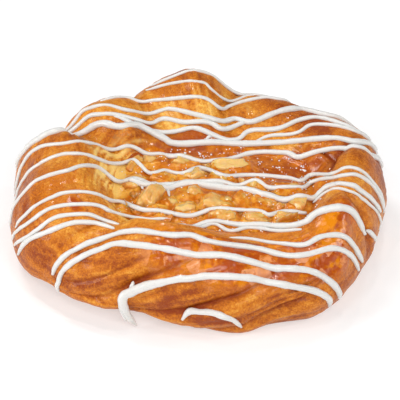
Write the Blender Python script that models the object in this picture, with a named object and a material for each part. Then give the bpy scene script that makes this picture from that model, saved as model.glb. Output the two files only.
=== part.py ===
"""An apple danish: a ring of puffy dough round a well of diced apple in jelly, with strings of white icing.

The danish rests on z = 0 with the middle of its base at the origin. X runs to the right, Y to the back and
Z up.
Each string of icing is fused to what it lies on, the dough or the filling.
"""

import math
import random
from collections import namedtuple
from itertools import groupby

import bmesh
import bpy
import numpy as np
from mathutils import Euler, Matrix, Vector
from mathutils.bvhtree import BVHTree

MM = 0.001

# The middle of the whole danish, as seen from the middle of the ring. The sizes below are from the ring's
# middle.
MIDDLE = (0.13, 1.87)

# The well that holds the filling: an oval with full sides, off the middle of the ring.
WELL_CENTRE = (4.5, -6.0)
WELL_HALF_LENGTH = 30.5
WELL_HALF_WIDTH = 21.0
WELL_FULLNESS = 3.0
# The well's floor: share of the way out from its middle, and how far it lies under the filling's level.
WELL_FLOOR = ((0.0, 9.0), (0.35, 8.7), (0.62, 7.6), (0.84, 5.2), (0.95, 2.6), (1.0, 0.0))

# The filling: its level in the middle of the well, how it falls to the right, its dome, and the gap under
# it.
FILLING_LEVEL = 24.6
FILLING_SLOPE = -0.035
FILLING_DOME = 0.5
FILLING_RIM = 0.965
GAP = 0.45
RIM_GAP = 0.7

# The underside: how high the bulge is, how far the flat base stands in from it, and how sharply a raised
# edge curves up from the middle of the base.
BULGE_HEIGHT = 10.5
BASE_INSET = 7.0
LIFT_POWER = 4

# The ring of dough by bearing, in degrees round from +X: how far out the crest of the roll lies and how
# high it is, how far out the side bulges, and how far the edge of the base lifts off the table.
Section = namedtuple("Section", "bearing crest height bulge lift")
RING = (
    Section(0, 47.0, 31.0, 57.5, 0.0),
    Section(13, 48.0, 31.5, 61.2, 0.0),
    Section(25, 48.0, 31.0, 62.0, 0.0),
    Section(38, 45.5, 30.2, 60.2, 0.0),
    Section(52, 42.0, 30.6, 54.6, 0.0),
    Section(65, 41.0, 31.5, 53.5, 0.0),
    Section(77, 40.5, 33.0, 53.3, 0.0),
    Section(85, 41.5, 36.6, 54.0, 0.0),
    Section(94, 42.0, 38.7, 54.8, 0.0),
    Section(104, 41.5, 36.4, 54.8, 0.0),
    Section(113, 40.5, 34.3, 54.0, 0.0),
    Section(121, 39.5, 34.0, 54.5, 0.0),
    Section(132, 40.0, 35.0, 55.5, 0.0),
    Section(143, 40.0, 34.6, 56.0, 0.0),
    Section(152, 41.0, 28.6, 57.6, 0.0),
    Section(162, 41.5, 34.6, 61.6, 0.0),
    Section(176, 38.5, 34.0, 58.2, 0.0),
    Section(191, 39.0, 34.0, 59.5, 1.0),
    Section(204, 40.0, 32.5, 59.0, 3.0),
    Section(216, 40.0, 30.5, 56.2, 4.5),
    Section(227, 37.0, 28.5, 54.6, 6.0),
    Section(237, 34.5, 30.5, 52.0, 6.0),
    Section(248, 33.0, 30.5, 49.0, 5.0),
    Section(260, 32.5, 29.5, 48.5, 2.5),
    Section(272, 33.0, 28.0, 49.5, 0.5),
    Section(284, 35.0, 26.0, 51.5, 0.0),
    Section(297, 38.0, 24.5, 52.0, 0.0),
    Section(310, 42.0, 24.5, 54.6, 0.0),
    Section(322, 45.0, 26.5, 55.2, 0.0),
    Section(334, 46.0, 30.0, 54.6, 0.5),
    Section(347, 46.0, 31.0, 55.5, 0.0),
)

# Places down the section: the middle of the well is 0, its edge 1, the crest 2, the bulge 3, the base's
# edge 4, and the middle of the base 5.
WELL_EDGE, CREST, BULGE, BASE_EDGE = 1.0, 2.0, 3.0, 4.0

# A crease between two lobes of the twisted dough: its ends as (bearing, place down the section), its
# depth and width.
Crease = namedtuple("Crease", "start end depth width")
CREASES = (
    # Across the ring, from the left round the back to the right and the front left.
    Crease((165, 1.45), (148, 3.0), 2.6, 3.2),
    Crease((122, 1.4), (116, 3.0), 2.4, 3.2),
    Crease((78, 1.45), (68, 3.0), 2.6, 3.2),
    Crease((16, 1.0), (12, 3.0), 3.0, 2.8),
    Crease((343, 1.8), (341, 3.2), 1.8, 2.4),
    Crease((232, 1.2), (212, 3.0), 2.2, 2.8),
    # Along the front, where the twist rises to the right.
    Crease((222, 3.2), (275, 2.25), 1.8, 2.4),
    Crease((246, 3.3), (298, 2.5), 2.2, 2.6),
    Crease((272, 3.7), (316, 2.7), 2.0, 2.4),
)
# The points along a crease, and how near a crease's fade is to nothing where the crease ends.
CREASE_STEPS = 24
CREASE_END = 0.12

# How finely the dough and the jelly are divided round, and the dough down each stretch below the well's
# edge.
SEGMENTS = 72
JELLY_SEGMENTS = 48
RINGS_DOWN = (5, 7, 4, 2)

# A die of apple in the jelly: where it lies, its length and its turn.
Die = namedtuple("Die", "x y length turn")
DICE = (
    Die(-14.0, 7.5, 6.5, 10),
    Die(-4.5, 7.0, 7.5, -8),
    Die(9.5, 7.5, 9.5, 4),
    Die(-15.0, -10.0, 8.5, 75),
    Die(-3.0, -9.5, 7.0, 20),
    Die(-13.0, -18.0, 6.0, -15),
    Die(17.0, -5.5, 7.0, 80),
    Die(20.0, -14.0, 7.0, 15),
    Die(30.0, -13.5, 6.5, 50),
    Die(7.0, -21.0, 8.0, 5),
    Die(16.5, -21.5, 7.0, -12),
    Die(26.5, -21.0, 7.0, 8),
    Die(5.0, -13.5, 8.0, -5),
    Die(27.0, -5.0, 7.0, 12),
    Die(6.5, -1.5, 7.5, -20),
    Die(-2.5, -1.0, 7.0, 25),
    Die(-12.5, -1.0, 6.5, -30),
    Die(-20.5, -4.0, 7.0, 60),
    Die(-19.5, 7.5, 7.0, 70),
    Die(-4.0, -19.5, 7.0, 12),
)
# A die's width, height and rise over the jelly as shares of its length, its bevel as a share of each
# side, the most that it tilts, and how far out in the well it may reach.
DIE_WIDTH, DIE_HEIGHT, DIE_RISE = 0.8, 0.75, -0.02
DIE_BEVEL = 0.16
DIE_TILT_DEG = 14.0
DIE_TILT_SEED = 7
DIE_LIMIT = 0.92

# A string of icing: its width, the bearing and height of its ends on the sides (None for an end on top),
# and its way in plan.
Pour = namedtuple("Pour", "width left right way")
POURS = (
    Pour(1.3, None, None, ((-18, 41.5), (-10, 41), (-2, 42.5), (8, 43.5), (17, 42), (26, 39.5), (35, 36.5))),
    Pour(1.1, None, None, ((-18, 40), (-10, 38.5), (-2, 37), (4, 35.5), (8, 34.7), (15, 38.5), (17, 39))),
    Pour(1.4, None, None, ((-32, 31), (-24, 34.5), (-13, 33), (-3, 31.5), (6, 30), (10, 33.5), (19, 36.5),
                           (28, 34))),
    Pour(1.7, (148, 20), (27, 22), ((-42, 26), (-38, 29), (-29, 27), (-24, 26), (-18, 27), (-10, 29),
                                    (0, 25.5), (6, 25), (11, 27), (16, 26.5), (24, 30), (34, 32),
                                    (42, 26))),
    Pour(1.4, (152, 20), None, ((-41, 23), (-36, 24.5), (-22, 22.8), (-12, 25.5), (-5, 24), (6, 22.8),
                                (12, 25.2), (16, 26.5))),
    Pour(2.0, (162, 18), (13, 18), ((-50, 14), (-44, 15), (-39, 19.5), (-33, 21), (-26, 18.5), (-20, 20.3),
                                    (-12, 18.6), (6, 18.5), (24, 18.8), (32, 18.3), (42, 15.5),
                                    (49, 14.5))),
    Pour(1.6, None, (14, 14), ((-28, 22), (-19, 20.6), (-5, 22), (4, 20.3), (9, 19.4), (16, 22.5),
                               (25, 23.2), (32, 25.5), (38, 25.5), (47, 20))),
    Pour(1.4, None, (16, 18), ((17, 20.4), (22, 22), (31, 21), (36, 22.3), (43, 20), (51, 17))),
    Pour(1.3, None, None, ((0.5, 17.8), (3.2, 19.6), (7, 20))),
    Pour(1.6, (172, 12), (9, 15), ((-52, 10), (-43, 7), (-37, 8), (-32, 11), (-22, 13.6), (-17, 13),
                                   (-12, 9.5), (-7, 8.5), (3, 10.6), (16, 15), (27, 14.5), (31, 12.2),
                                   (43, 11), (51, 9.5))),
    Pour(1.4, (180, 11), (359, 10), ((-50, 1.5), (-43, 1), (-37, 1.4), (-30, 3.8), (-22, 7.5), (-15, -1),
                                     (-10, -0.8), (-4, -0.5), (1, 4.5), (7, -1), (14, 2.5), (26, 1.7),
                                     (31, 0.6), (35, 3), (41, -1.5), (46, -2.2), (52, -3))),
    Pour(1.4, (187, 10), (357, 9), ((-53, -7), (-47, -8.4), (-41, -8.4), (-36, -5.4), (-30, -1.8),
                                    (-25, -0.8), (-18, -4.2), (-9, -3.7), (2, -1.8), (17, -0.5),
                                    (22, -4.4), (31, -5.8), (36, -2.5), (43, -5.8), (50, -5.4))),
    Pour(1.8, None, (353, 8), ((-22, -5), (-11, -5.9), (-2, -4), (15, -7.6), (18, -9.2), (26, -10.3),
                               (34, -8.8), (38, -6.8), (44, -10.2), (51, -10.8))),
    Pour(1.1, None, (350, 8), ((34, -12), (38, -10.4), (43, -12.4), (50, -13.2))),
    Pour(1.5, (196, 9), None, ((-50, -17.4), (-44, -17.6), (-32, -16.8), (-28, -15.6), (-24, -14),
                               (-17, -18), (-5, -21.5), (5, -19.9), (17, -20.8), (21, -19.2), (26, -19.4),
                               (33, -15.8))),
    Pour(1.4, (199, 9), None, ((-51, -19.8), (-45, -20.4), (-37, -21.1), (-30, -21), (-27, -23),
                               (-21, -20), (-15, -22), (-8, -22.4))),
    Pour(1.5, (203, 8), None, ((-50, -23.4), (-44, -24), (-37, -24.6), (-31, -24.8), (-24, -28.4))),
    Pour(1.7, (207, 7), None, ((-50, -26.2), (-44, -27), (-37, -27.2), (-31, -27.2), (-25, -30.2))),
    Pour(1.9, None, (339, 19), ((-7, -27.5), (1, -24.2), (9, -23.6), (21, -23.6), (31, -23.2), (35, -20),
                                (41, -20.6), (47, -20.2))),
    Pour(1.4, None, None, ((-3, -27.6), (4, -25), (9, -26.2), (15, -25.2), (24, -26), (31, -26.6))),
    Pour(1.8, None, (334, 10), ((8, -32.6), (15, -31.4), (22, -32.7), (30, -33.6), (36, -31), (42, -29))),
    Pour(1.8, (218, 14), (330, 8), ((-40, -34), (-34, -34), (-26, -33), (-20, -33.4), (-9, -35.2), (3, -35.8),
                                    (16, -36), (26, -37.8), (34, -35.6), (40, -32.8))),
    Pour(2.0, (218, 8), (318, 5), ((-38, -36.4), (-29, -36.5), (-23, -36.6), (-12, -38.8), (-3, -40),
                                   (10, -40.2), (24, -41), (30, -40.5))),
)

# A string that lies along the side of the ring: its width, and its way as bearings with heights.
SidePour = namedtuple("SidePour", "width way")
SIDE_POURS = (
    SidePour(2.2, ((242, 10.5), (245, 14.5), (254, 18), (264, 20.5), (275, 21.2), (286, 20.2), (296, 18.2),
                   (304, 15.8), (311, 12), (315, 7), (316, 3.5))),
    SidePour(1.9, ((263, 5), (266, 9.6), (274, 10.8), (281, 8.8), (285, 3.2))),
    SidePour(1.8, ((340, 19.5), (343, 16.5), (346, 13), (348, 9.5))),
)
# How a string is made: its sides, how far its middle lies over the surface as a share of its radius, the
# step along it, how far its line may be simplified, and over how many steps each way its heights are
# evened.
POUR_SIDES = 6
POUR_RISE = 0.35
POUR_STEP = 1.0
POUR_TOLERANCE = 0.45
POUR_SMOOTHING = 2
# The height that strings are dropped from, the place where they turn down the side, and the step down it.
POUR_FROM = 100.0
SIDE_PLACE = 2.82
SIDE_STEP = 1.5

# The share of the triangles that is kept after the strings are fused, and how near points are welded.
KEPT_SHARE = 0.72
WELD = 0.001

# The drop of icing that hangs from the raised front edge to the table: its line and its width.
DROP_LINE = (
    (-22.8, -43.6, 12.0),
    (-23.9, -44.8, 9.0),
    (-23.4, -44.6, 6.0),
    (-22.0, -44.4, 3.0),
    (-19.4, -44.4, 1.25),
)
DROP_WIDTH = 2.5


def spline(a, b, c, d, t):
    """The point at t from b to c, on the smooth curve through a, b, c and d."""
    return 0.5 * (2 * b + (c - a) * t + (2 * a - 5 * b + 4 * c - d) * t**2 + (3 * b - a - 3 * c + d) * t**3)


def ring_at(bearing):
    """The section's crest, height, bulge and lift at a bearing, on a smooth closed curve through RING."""
    bearings = [section.bearing for section in RING]
    turn = bearing % 360.0
    after = next((i for i, b in enumerate(bearings) if b > turn), len(RING))
    rows = [RING[(after + k) % len(RING)] for k in (-2, -1, 0, 1)]
    start = bearings[after - 1]
    span = (rows[2].bearing - rows[1].bearing) % 360.0
    t = (turn - start) / span
    a, b, c, d = (np.array(row[1:]) for row in rows)
    return np.maximum(spline(a, b, c, d, t), 0.0)


def well_radius(bearing):
    """How far the well's edge is from the well's centre at a bearing."""
    turn = math.radians(bearing)
    along = abs(math.cos(turn)) / WELL_HALF_LENGTH
    across = abs(math.sin(turn)) / WELL_HALF_WIDTH
    return (along**WELL_FULLNESS + across**WELL_FULLNESS) ** (-1.0 / WELL_FULLNESS)


def well_share(x, y):
    """How far out from the well's middle a point is, as a share of the way to its edge, and that way."""
    across, along = y - WELL_CENTRE[1], x - WELL_CENTRE[0]
    radius = well_radius(math.degrees(math.atan2(across, along)))
    return math.hypot(along, across) / radius, radius


def filling_level(x):
    """The height of the well's edge at x."""
    return FILLING_LEVEL + FILLING_SLOPE * (x - WELL_CENTRE[0])


def section_point(bearing, place):
    """The point of the dough's plain form at a bearing and a place down the section, in mm."""
    turn = math.radians(bearing)
    out = np.array((math.cos(turn), math.sin(turn)))
    crest, height, bulge, lift = ring_at(bearing)
    edge = np.array(WELL_CENTRE) + well_radius(bearing) * out
    if place <= WELL_EDGE:
        plan = np.array(WELL_CENTRE) + place * well_radius(bearing) * out
        z = filling_level(plan[0]) - float(np.interp(place, *zip(*WELL_FLOOR)))
    elif place <= CREST:
        t = place - WELL_EDGE
        plan = edge + t * (crest * out - edge)
        low = filling_level(edge[0])
        z = low + (height - low) * math.sin(t * math.pi / 2)
    elif place <= BULGE:
        t = (place - CREST) * math.pi / 2
        plan = (crest + (bulge - crest) * math.sin(t)) * out
        z = BULGE_HEIGHT + (height - BULGE_HEIGHT) * math.cos(t)
    elif place <= BASE_EDGE:
        t = (place - BULGE) * math.pi / 2
        plan = (bulge - BASE_INSET * (1 - math.cos(t))) * out
        z = BULGE_HEIGHT - (BULGE_HEIGHT - lift) * math.sin(t)
    else:
        t = 1 - (place - BASE_EDGE)
        plan = (bulge - BASE_INSET) * t * out
        z = lift * t**LIFT_POWER
    return np.array((plan[0], plan[1], z))


def crease_line(crease):
    """Points along a crease, on the dough's plain form."""
    (b0, p0), (b1, p1) = crease.start, crease.end
    steps = [k / CREASE_STEPS for k in range(CREASE_STEPS + 1)]
    return np.array([section_point(b0 + (b1 - b0) * t, p0 + (p1 - p0) * t) for t in steps])


def crease_depth(point, lines):
    """How far the creases sink a point of the dough. Each has a sharp bottom and fades out at its ends."""
    sunk = 0.0
    for crease, line in zip(CREASES, lines):
        apart = np.linalg.norm(line - point, axis=1)
        nearest = int(apart.argmin())
        fade = math.sin(math.pi * (CREASE_END + (1 - 2 * CREASE_END) * nearest / CREASE_STEPS))
        sunk = max(sunk, crease.depth * fade * math.exp(-apart[nearest] / crease.width))
    return sunk


def places_down():
    """The place of each ring of vertices down the section, from the well's middle to the base's middle."""
    places = [share for share, _ in WELL_FLOOR]
    for stretch, count in enumerate(RINGS_DOWN):
        places += [WELL_EDGE + stretch + (k + 1) / count for k in range(count)]
    return places


def shaped_ball(name, segments, count, point_at):
    """A ball of count rings whose vertices are moved to point_at(bearing, ring). Ring 0 is its top pole."""
    bm = bmesh.new()
    bmesh.ops.create_uvsphere(bm, u_segments=segments, v_segments=count - 1, radius=1.0)
    for vertex in bm.verts:
        ring = round(math.acos(max(-1.0, min(1.0, vertex.co.z))) / math.pi * (count - 1))
        bearing = math.degrees(math.atan2(vertex.co.y, vertex.co.x)) % 360.0
        vertex.co = Vector(point_at(bearing, ring)) * MM
    bmesh.ops.triangulate(bm, faces=bm.faces)
    bm.normal_update()
    mesh = bpy.data.meshes.new(name)
    bm.to_mesh(mesh)
    bm.free()
    return mesh


def dough_mesh():
    """The dough: the plain form with its creases sunk along the surface's normals."""
    places = places_down()

    def point_at(bearing, ring):
        return section_point(bearing, places[ring])

    mesh = shaped_ball("dough", SEGMENTS, len(places), point_at)
    lines = [crease_line(crease) for crease in CREASES]
    normals = [Vector(vertex.normal) for vertex in mesh.vertices]
    for vertex, normal in zip(mesh.vertices, normals):
        vertex.co -= normal * crease_depth(np.array(vertex.co) / MM, lines) * MM
    return mesh


def jelly_mesh():
    """The jelly: a lens that fills the well, clear of its floor and its edge."""
    *inner, outer, _ = WELL_FLOOR
    widened = FILLING_RIM / outer[0]
    top = [(share * widened, FILLING_DOME * (1 - share**2)) for share, _ in (*inner, outer)]
    floor = [(share, GAP - drop) for share, drop in inner] + [(outer[0], RIM_GAP - outer[1])]
    rows = top + floor[::-1]

    def point_at(bearing, ring):
        share, rise = rows[ring]
        turn = math.radians(bearing)
        x = WELL_CENTRE[0] + share * well_radius(bearing) * math.cos(turn)
        y = WELL_CENTRE[1] + share * well_radius(bearing) * math.sin(turn)
        return x, y, filling_level(x) + rise

    return shaped_ball("jelly", JELLY_SEGMENTS, len(rows), point_at)


def kept_in_well(point):
    """A point of a die, moved in from the well's edge and up from its floor where it is too near them."""
    share, _ = well_share(point.x, point.y)
    inward = min(1.0, DIE_LIMIT / share)
    x, y = (middle + (place - middle) * inward for middle, place in zip(WELL_CENTRE, point))
    floor = filling_level(x) - float(np.interp(share * inward, *zip(*WELL_FLOOR)))
    return Vector((x, y, max(point.z, floor + RIM_GAP)))


def die_mesh(die, rng):
    """A die of apple: a box with bevelled edges, turned and tilted, with its lower half in the jelly."""
    bm = bmesh.new()
    bmesh.ops.create_cube(bm, size=1.0)
    bmesh.ops.bevel(bm, geom=bm.edges, offset=DIE_BEVEL, segments=1, affect="EDGES")
    size = Vector((die.length, die.length * DIE_WIDTH, die.length * DIE_HEIGHT)) * MM
    tilt = [math.radians(rng.uniform(-DIE_TILT_DEG, DIE_TILT_DEG)) for _ in range(2)]
    turn = Euler((*tilt, math.radians(die.turn))).to_matrix()
    middle = Vector((die.x, die.y, filling_level(die.x) + FILLING_DOME / 2 + die.length * DIE_RISE)) * MM
    for vertex in bm.verts:
        vertex.co = kept_in_well((turn @ Vector(a * b for a, b in zip(vertex.co, size)) + middle) / MM) * MM
    bmesh.ops.triangulate(bm, faces=bm.faces)
    mesh = bpy.data.meshes.new("die")
    bm.to_mesh(mesh)
    bm.free()
    return mesh


def smooth_way(way, step):
    """Points at a step along a smooth curve in plan through the points of a way."""
    rows = [np.array(point, float) for point in way]
    rows = [2 * rows[0] - rows[1]] + rows + [2 * rows[-1] - rows[-2]]
    points = []
    for a, b, c, d in zip(rows, rows[1:], rows[2:], rows[3:]):
        count = max(1, round(float(np.linalg.norm(c - b)) / step))
        for t in (k / count for k in range(count)):
            points.append(spline(a, b, c, d, t))
    return points + [rows[-2]]


def on_side(bearing, z, tree):
    """The point and the normal of the dough's side at a bearing and a height."""
    crest, height, bulge, lift = ring_at(bearing)
    if z >= BULGE_HEIGHT:
        share = min(1.0, (z - BULGE_HEIGHT) / (height - BULGE_HEIGHT))
        reach = crest + (bulge - crest) * math.sin(math.acos(share))
    else:
        share = min(1.0, (BULGE_HEIGHT - z) / (BULGE_HEIGHT - lift))
        reach = bulge - BASE_INSET * (1 - math.cos(math.asin(share)))
    turn = math.radians(bearing)
    guide = Vector((reach * math.cos(turn), reach * math.sin(turn), z))
    place, normal, _, _ = tree.find_nearest(guide * MM)
    return place / MM, normal


def run_down(point, end, tree):
    """A string's run from a point on top down the side to a bearing and a height: points and normals."""
    bearing = math.degrees(math.atan2(point.y, point.x))
    turn = (end[0] - bearing + 180) % 360 - 180
    fall = point.z - end[1]
    shares = np.linspace(0, 1, 1 + round(fall / SIDE_STEP))[1:]
    return [on_side(bearing + turn * share, point.z - fall * share, tree) for share in shares]


def drape(pour, tree):
    """The line of a string on the surface under it: rows of (point, normal), in mm."""
    rows = []
    for x, y in smooth_way(pour.way, POUR_STEP):
        edge = section_point(math.degrees(math.atan2(y, x)), SIDE_PLACE)
        if math.hypot(x, y) > math.hypot(edge[0], edge[1]):
            continue
        place, normal, _, _ = tree.ray_cast(Vector((x, y, POUR_FROM)) * MM, Vector((0, 0, -1)))
        rows.append((place / MM, normal))
    heights = [place.z for place, _ in rows]
    for k, (place, _) in enumerate(rows):
        near = heights[max(0, k - POUR_SMOOTHING):k + POUR_SMOOTHING + 1]
        place.z = sum(near) / len(near)
    if pour.left is not None:
        rows = run_down(rows[0][0], pour.left, tree)[::-1] + rows
    if pour.right is not None:
        rows = rows + run_down(rows[-1][0], pour.right, tree)
    return rows


def straightened(points, tolerance):
    """The points of a line that are needed to keep within a tolerance of it."""
    first, last = points[0], points[-1]
    along = (last - first).normalized()
    off = [(point - first - along * (point - first).dot(along)).length for point in points]
    worst = max(range(len(points)), key=off.__getitem__)
    if off[worst] <= tolerance or len(points) < 3:
        return [first, last]
    return straightened(points[:worst + 1], tolerance)[:-1] + straightened(points[worst:], tolerance)


def tube_mesh(points, radius):
    """A round tube along points in mm, with closed ends."""
    curve = bpy.data.curves.new("string", "CURVE")
    curve.dimensions = "3D"
    curve.bevel_depth = radius * MM
    curve.bevel_resolution = (POUR_SIDES - 4) // 2
    curve.use_fill_caps = True
    spline = curve.splines.new("POLY")
    spline.points.add(len(points) - 1)
    for point, place in zip(spline.points, points):
        point.co = (*(place * MM), 1.0)
    obj = bpy.data.objects.new("string", curve)
    bpy.context.scene.collection.objects.link(obj)
    bpy.context.view_layer.update()
    mesh = bpy.data.meshes.new_from_object(obj.evaluated_get(bpy.context.evaluated_depsgraph_get()))
    bpy.data.objects.remove(obj)
    bm = bmesh.new()
    bm.from_mesh(mesh)
    bmesh.ops.remove_doubles(bm, verts=bm.verts, dist=WELD * MM)
    bmesh.ops.recalc_face_normals(bm, faces=bm.faces)
    bmesh.ops.triangulate(bm, faces=bm.faces)
    bm.to_mesh(mesh)
    bm.free()
    return mesh


def lies_on(point, radius):
    """What a string of a radius lies on at a point: the filling, the dough, or neither too near the gap."""
    share, reach = well_share(point.x, point.y)
    past = (share - 1.0) * reach
    if past > radius + GAP:
        return "pastry"
    return "apple_filling" if past < -(1 - FILLING_RIM) * reach - radius else None


def string_meshes(tree):
    """The tubes of all the strings, as lists of meshes by what they lie on."""
    meshes = {"pastry": [], "apple_filling": []}
    for pour in SIDE_POURS:
        rows = [on_side(bearing, z, tree) for bearing, z in smooth_way(pour.way, POUR_STEP)]
        points = [point + normal * pour.width / 2 * POUR_RISE for point, normal in rows]
        meshes["pastry"].append(tube_mesh(straightened(points, POUR_TOLERANCE), pour.width / 2))
    for pour in POURS:
        radius = pour.width / 2
        rows = drape(pour, tree)
        rows = [(point + normal * radius * POUR_RISE, lies_on(point, radius)) for point, normal in rows]
        for on, group in groupby(rows, key=lambda row: row[1]):
            points = [point for point, _ in group]
            if on and len(points) > 2:
                meshes[on].append(tube_mesh(straightened(points, POUR_TOLERANCE), radius))
    drop = [Vector(point) for point in DROP_LINE]
    meshes["pastry"].append(tube_mesh(drop, DROP_WIDTH / 2))
    return meshes


def tree_over(meshes):
    """A search tree over the faces of meshes."""
    vertices, faces = [], []
    for mesh in meshes:
        base = len(vertices)
        vertices += [vertex.co.copy() for vertex in mesh.vertices]
        faces += [[base + index for index in face.vertices] for face in mesh.polygons]
    return BVHTree.FromPolygons(vertices, faces)


def fuse(obj, meshes):
    """Joins meshes to an object with one union."""
    extras = bpy.data.collections.new("extras")
    bpy.context.scene.collection.children.link(extras)
    for mesh in meshes:
        extras.objects.link(bpy.data.objects.new("extra", mesh))
    union = obj.modifiers.new("union", "BOOLEAN")
    union.operation = "UNION"
    union.operand_type = "COLLECTION"
    union.collection = extras
    union.solver = "EXACT"
    union.use_self = True
    bpy.context.view_layer.update()
    mesh = bpy.data.meshes.new_from_object(obj.evaluated_get(bpy.context.evaluated_depsgraph_get()))
    obj.modifiers.clear()
    obj.data = mesh
    for extra in list(extras.objects):
        bpy.data.objects.remove(extra)
    bpy.data.collections.remove(extras)


def thinned(obj, share):
    """Keeps a share of the object's triangles, those that matter most to its form."""
    thin = obj.modifiers.new("thin", "DECIMATE")
    thin.ratio = share
    thin.use_collapse_triangulate = True
    bpy.context.view_layer.update()
    mesh = bpy.data.meshes.new_from_object(obj.evaluated_get(bpy.context.evaluated_depsgraph_get()))
    obj.modifiers.clear()
    obj.data = mesh


def tidy_mesh(obj):
    """Welds points that nearly meet and triangulates."""
    bm = bmesh.new()
    bm.from_mesh(obj.data)
    bmesh.ops.remove_doubles(bm, verts=bm.verts, dist=WELD * MM)
    bmesh.ops.triangulate(bm, faces=bm.faces)
    bm.to_mesh(obj.data)
    bm.free()


def material(name, colour, roughness):
    """A plain surface of one colour."""
    made = bpy.data.materials.new(name)
    made.use_nodes = True
    shader = made.node_tree.nodes["Principled BSDF"]
    shader.inputs["Base Color"].default_value = (*colour, 1.0)
    shader.inputs["Roughness"].default_value = roughness
    shader.inputs["Metallic"].default_value = 0.0
    return made


def clear_scene():
    """Removes the objects of the scene that the script starts in."""
    for obj in list(bpy.data.objects):
        bpy.data.objects.remove(obj)


def solid(name, mesh, surface, danish):
    """An object of the danish, with a surface of its own."""
    obj = bpy.data.objects.new(name, mesh)
    danish.objects.link(obj)
    mesh.materials.append(surface)
    return obj


def main():
    """Builds the danish's solids."""
    clear_scene()
    rng = random.Random(DIE_TILT_SEED)
    danish = bpy.data.collections.new("apple_danish")
    bpy.context.scene.collection.children.link(danish)
    baked_dough = material("baked_dough", (0.62, 0.27, 0.06), 0.45)
    apple_in_jelly = material("apple_in_jelly", (0.78, 0.45, 0.08), 0.2)
    pastry = solid("pastry", dough_mesh(), baked_dough, danish)
    filling = solid("apple_filling", jelly_mesh(), apple_in_jelly, danish)
    dice = [die_mesh(die, rng) for die in DICE]
    strings = string_meshes(tree_over([pastry.data, filling.data] + dice))
    fuse(pastry, strings["pastry"])
    fuse(filling, dice + strings["apple_filling"])
    for obj in (pastry, filling):
        tidy_mesh(obj)
        thinned(obj, KEPT_SHARE)
        obj.data.transform(Matrix.Translation((-MIDDLE[0] * MM, -MIDDLE[1] * MM, 0)))


main()
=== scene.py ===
"""The looks of an apple danish: baked dough, apple in jelly and strings of icing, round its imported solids.

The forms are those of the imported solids, from the same sizes, with finer detail. Lengths in the classes are in mm
from the middle of the ring of dough. Bearings are in degrees round from +X. A place down the ring's section is 0 in
the middle of the well, 1 at its edge, 2 on the crest, 3 on the bulge, 4 at the edge of the base and 5 in its middle.
"""

import logging
import math
from collections.abc import Callable
from dataclasses import dataclass
from enum import Enum

import bmesh
import bpy
import numpy as np
from bpy.types import Material, Mesh, Node, NodeSocket, NodeTree, Object
from mathutils import Euler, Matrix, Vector
from mathutils.bvhtree import BVHTree


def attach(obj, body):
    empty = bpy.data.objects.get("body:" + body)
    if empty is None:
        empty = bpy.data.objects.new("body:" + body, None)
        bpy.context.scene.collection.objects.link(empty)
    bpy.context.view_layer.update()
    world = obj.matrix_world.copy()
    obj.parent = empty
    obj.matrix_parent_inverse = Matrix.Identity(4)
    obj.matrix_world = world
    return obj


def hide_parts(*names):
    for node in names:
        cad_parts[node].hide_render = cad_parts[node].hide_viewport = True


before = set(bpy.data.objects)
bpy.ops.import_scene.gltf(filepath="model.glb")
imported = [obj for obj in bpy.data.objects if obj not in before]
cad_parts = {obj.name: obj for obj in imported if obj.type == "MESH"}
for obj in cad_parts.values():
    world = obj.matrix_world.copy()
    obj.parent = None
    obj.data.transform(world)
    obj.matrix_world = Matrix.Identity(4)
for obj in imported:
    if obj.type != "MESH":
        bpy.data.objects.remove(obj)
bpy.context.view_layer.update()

MM = 0.001
TINY = 1e-9

Colour = tuple[float, float, float, float]
Pair = tuple[float, float]
Place = tuple[float, float, float]
Way = tuple[Pair, ...]
# A place on a surface, and the normal there.
Footing = tuple[np.ndarray, np.ndarray]

log = logging.getLogger("apple_danish")


def ink(red: int, green: int, blue: int) -> Colour:
    """A colour as the shader wants it, from the 0 to 255 values that a screen shows.

    Args:
        red: The red value.
        green: The green value.
        blue: The blue value.

    Returns:
        The linear colour with full alpha.
    """
    shares = [value / 255 for value in (red, green, blue)]
    linear = [share / 12.92 if share <= 0.04045 else ((share + 0.055) / 1.055) ** 2.4 for share in shares]
    return linear[0], linear[1], linear[2], 1.0


def eased(value: np.ndarray, low: float, high: float) -> np.ndarray:
    """A smooth step from 0 at low to 1 at high.

    Args:
        value: The values to ease.
        low: Where the step starts.
        high: Where the step ends, which may lie under low.

    Returns:
        The shares, one for each value.
    """
    share = np.clip((value - low) / (high - low), 0.0, 1.0)
    return share * share * (3.0 - 2.0 * share)


def spline(a: np.ndarray, b: np.ndarray, c: np.ndarray, d: np.ndarray, t: float | np.ndarray) -> np.ndarray:
    """The point at t from b to c, on the smooth curve through a, b, c and d."""
    return 0.5 * (2 * b + (c - a) * t + (2 * a - 5 * b + 4 * c - d) * t**2 + (3 * b - a - 3 * c + d) * t**3)


def smooth_way(way: Way, step: float) -> np.ndarray:
    """A smooth curve through the points of a way.

    Args:
        way: The points, of any number of values each.
        step: The distance between the points of the curve.

    Returns:
        The points of the curve.
    """
    rows = [np.array(point, float) for point in way]
    rows = [2 * rows[0] - rows[1]] + rows + [2 * rows[-1] - rows[-2]]
    points = []
    for a, b, c, d in zip(rows, rows[1:], rows[2:], rows[3:]):
        count = max(1, round(float(np.linalg.norm(c - b)) / step))
        points += [spline(a, b, c, d, k / count) for k in range(count)]
    return np.array(points + [rows[-2]])


def evened(values: np.ndarray, reach: int) -> np.ndarray:
    """Values along a line, each replaced by the mean of those within reach of it."""
    padded = np.pad(values, [(reach, reach)] + [(0, 0)] * (values.ndim - 1), mode="edge")
    return np.mean([padded[k:k + len(values)] for k in range(2 * reach + 1)], axis=0)


def rows_of(kind: type, *table: tuple[float, ...]) -> tuple:
    """Records of one kind, from a table with a row of values for each."""
    return tuple(kind(*row) for row in table)


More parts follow.
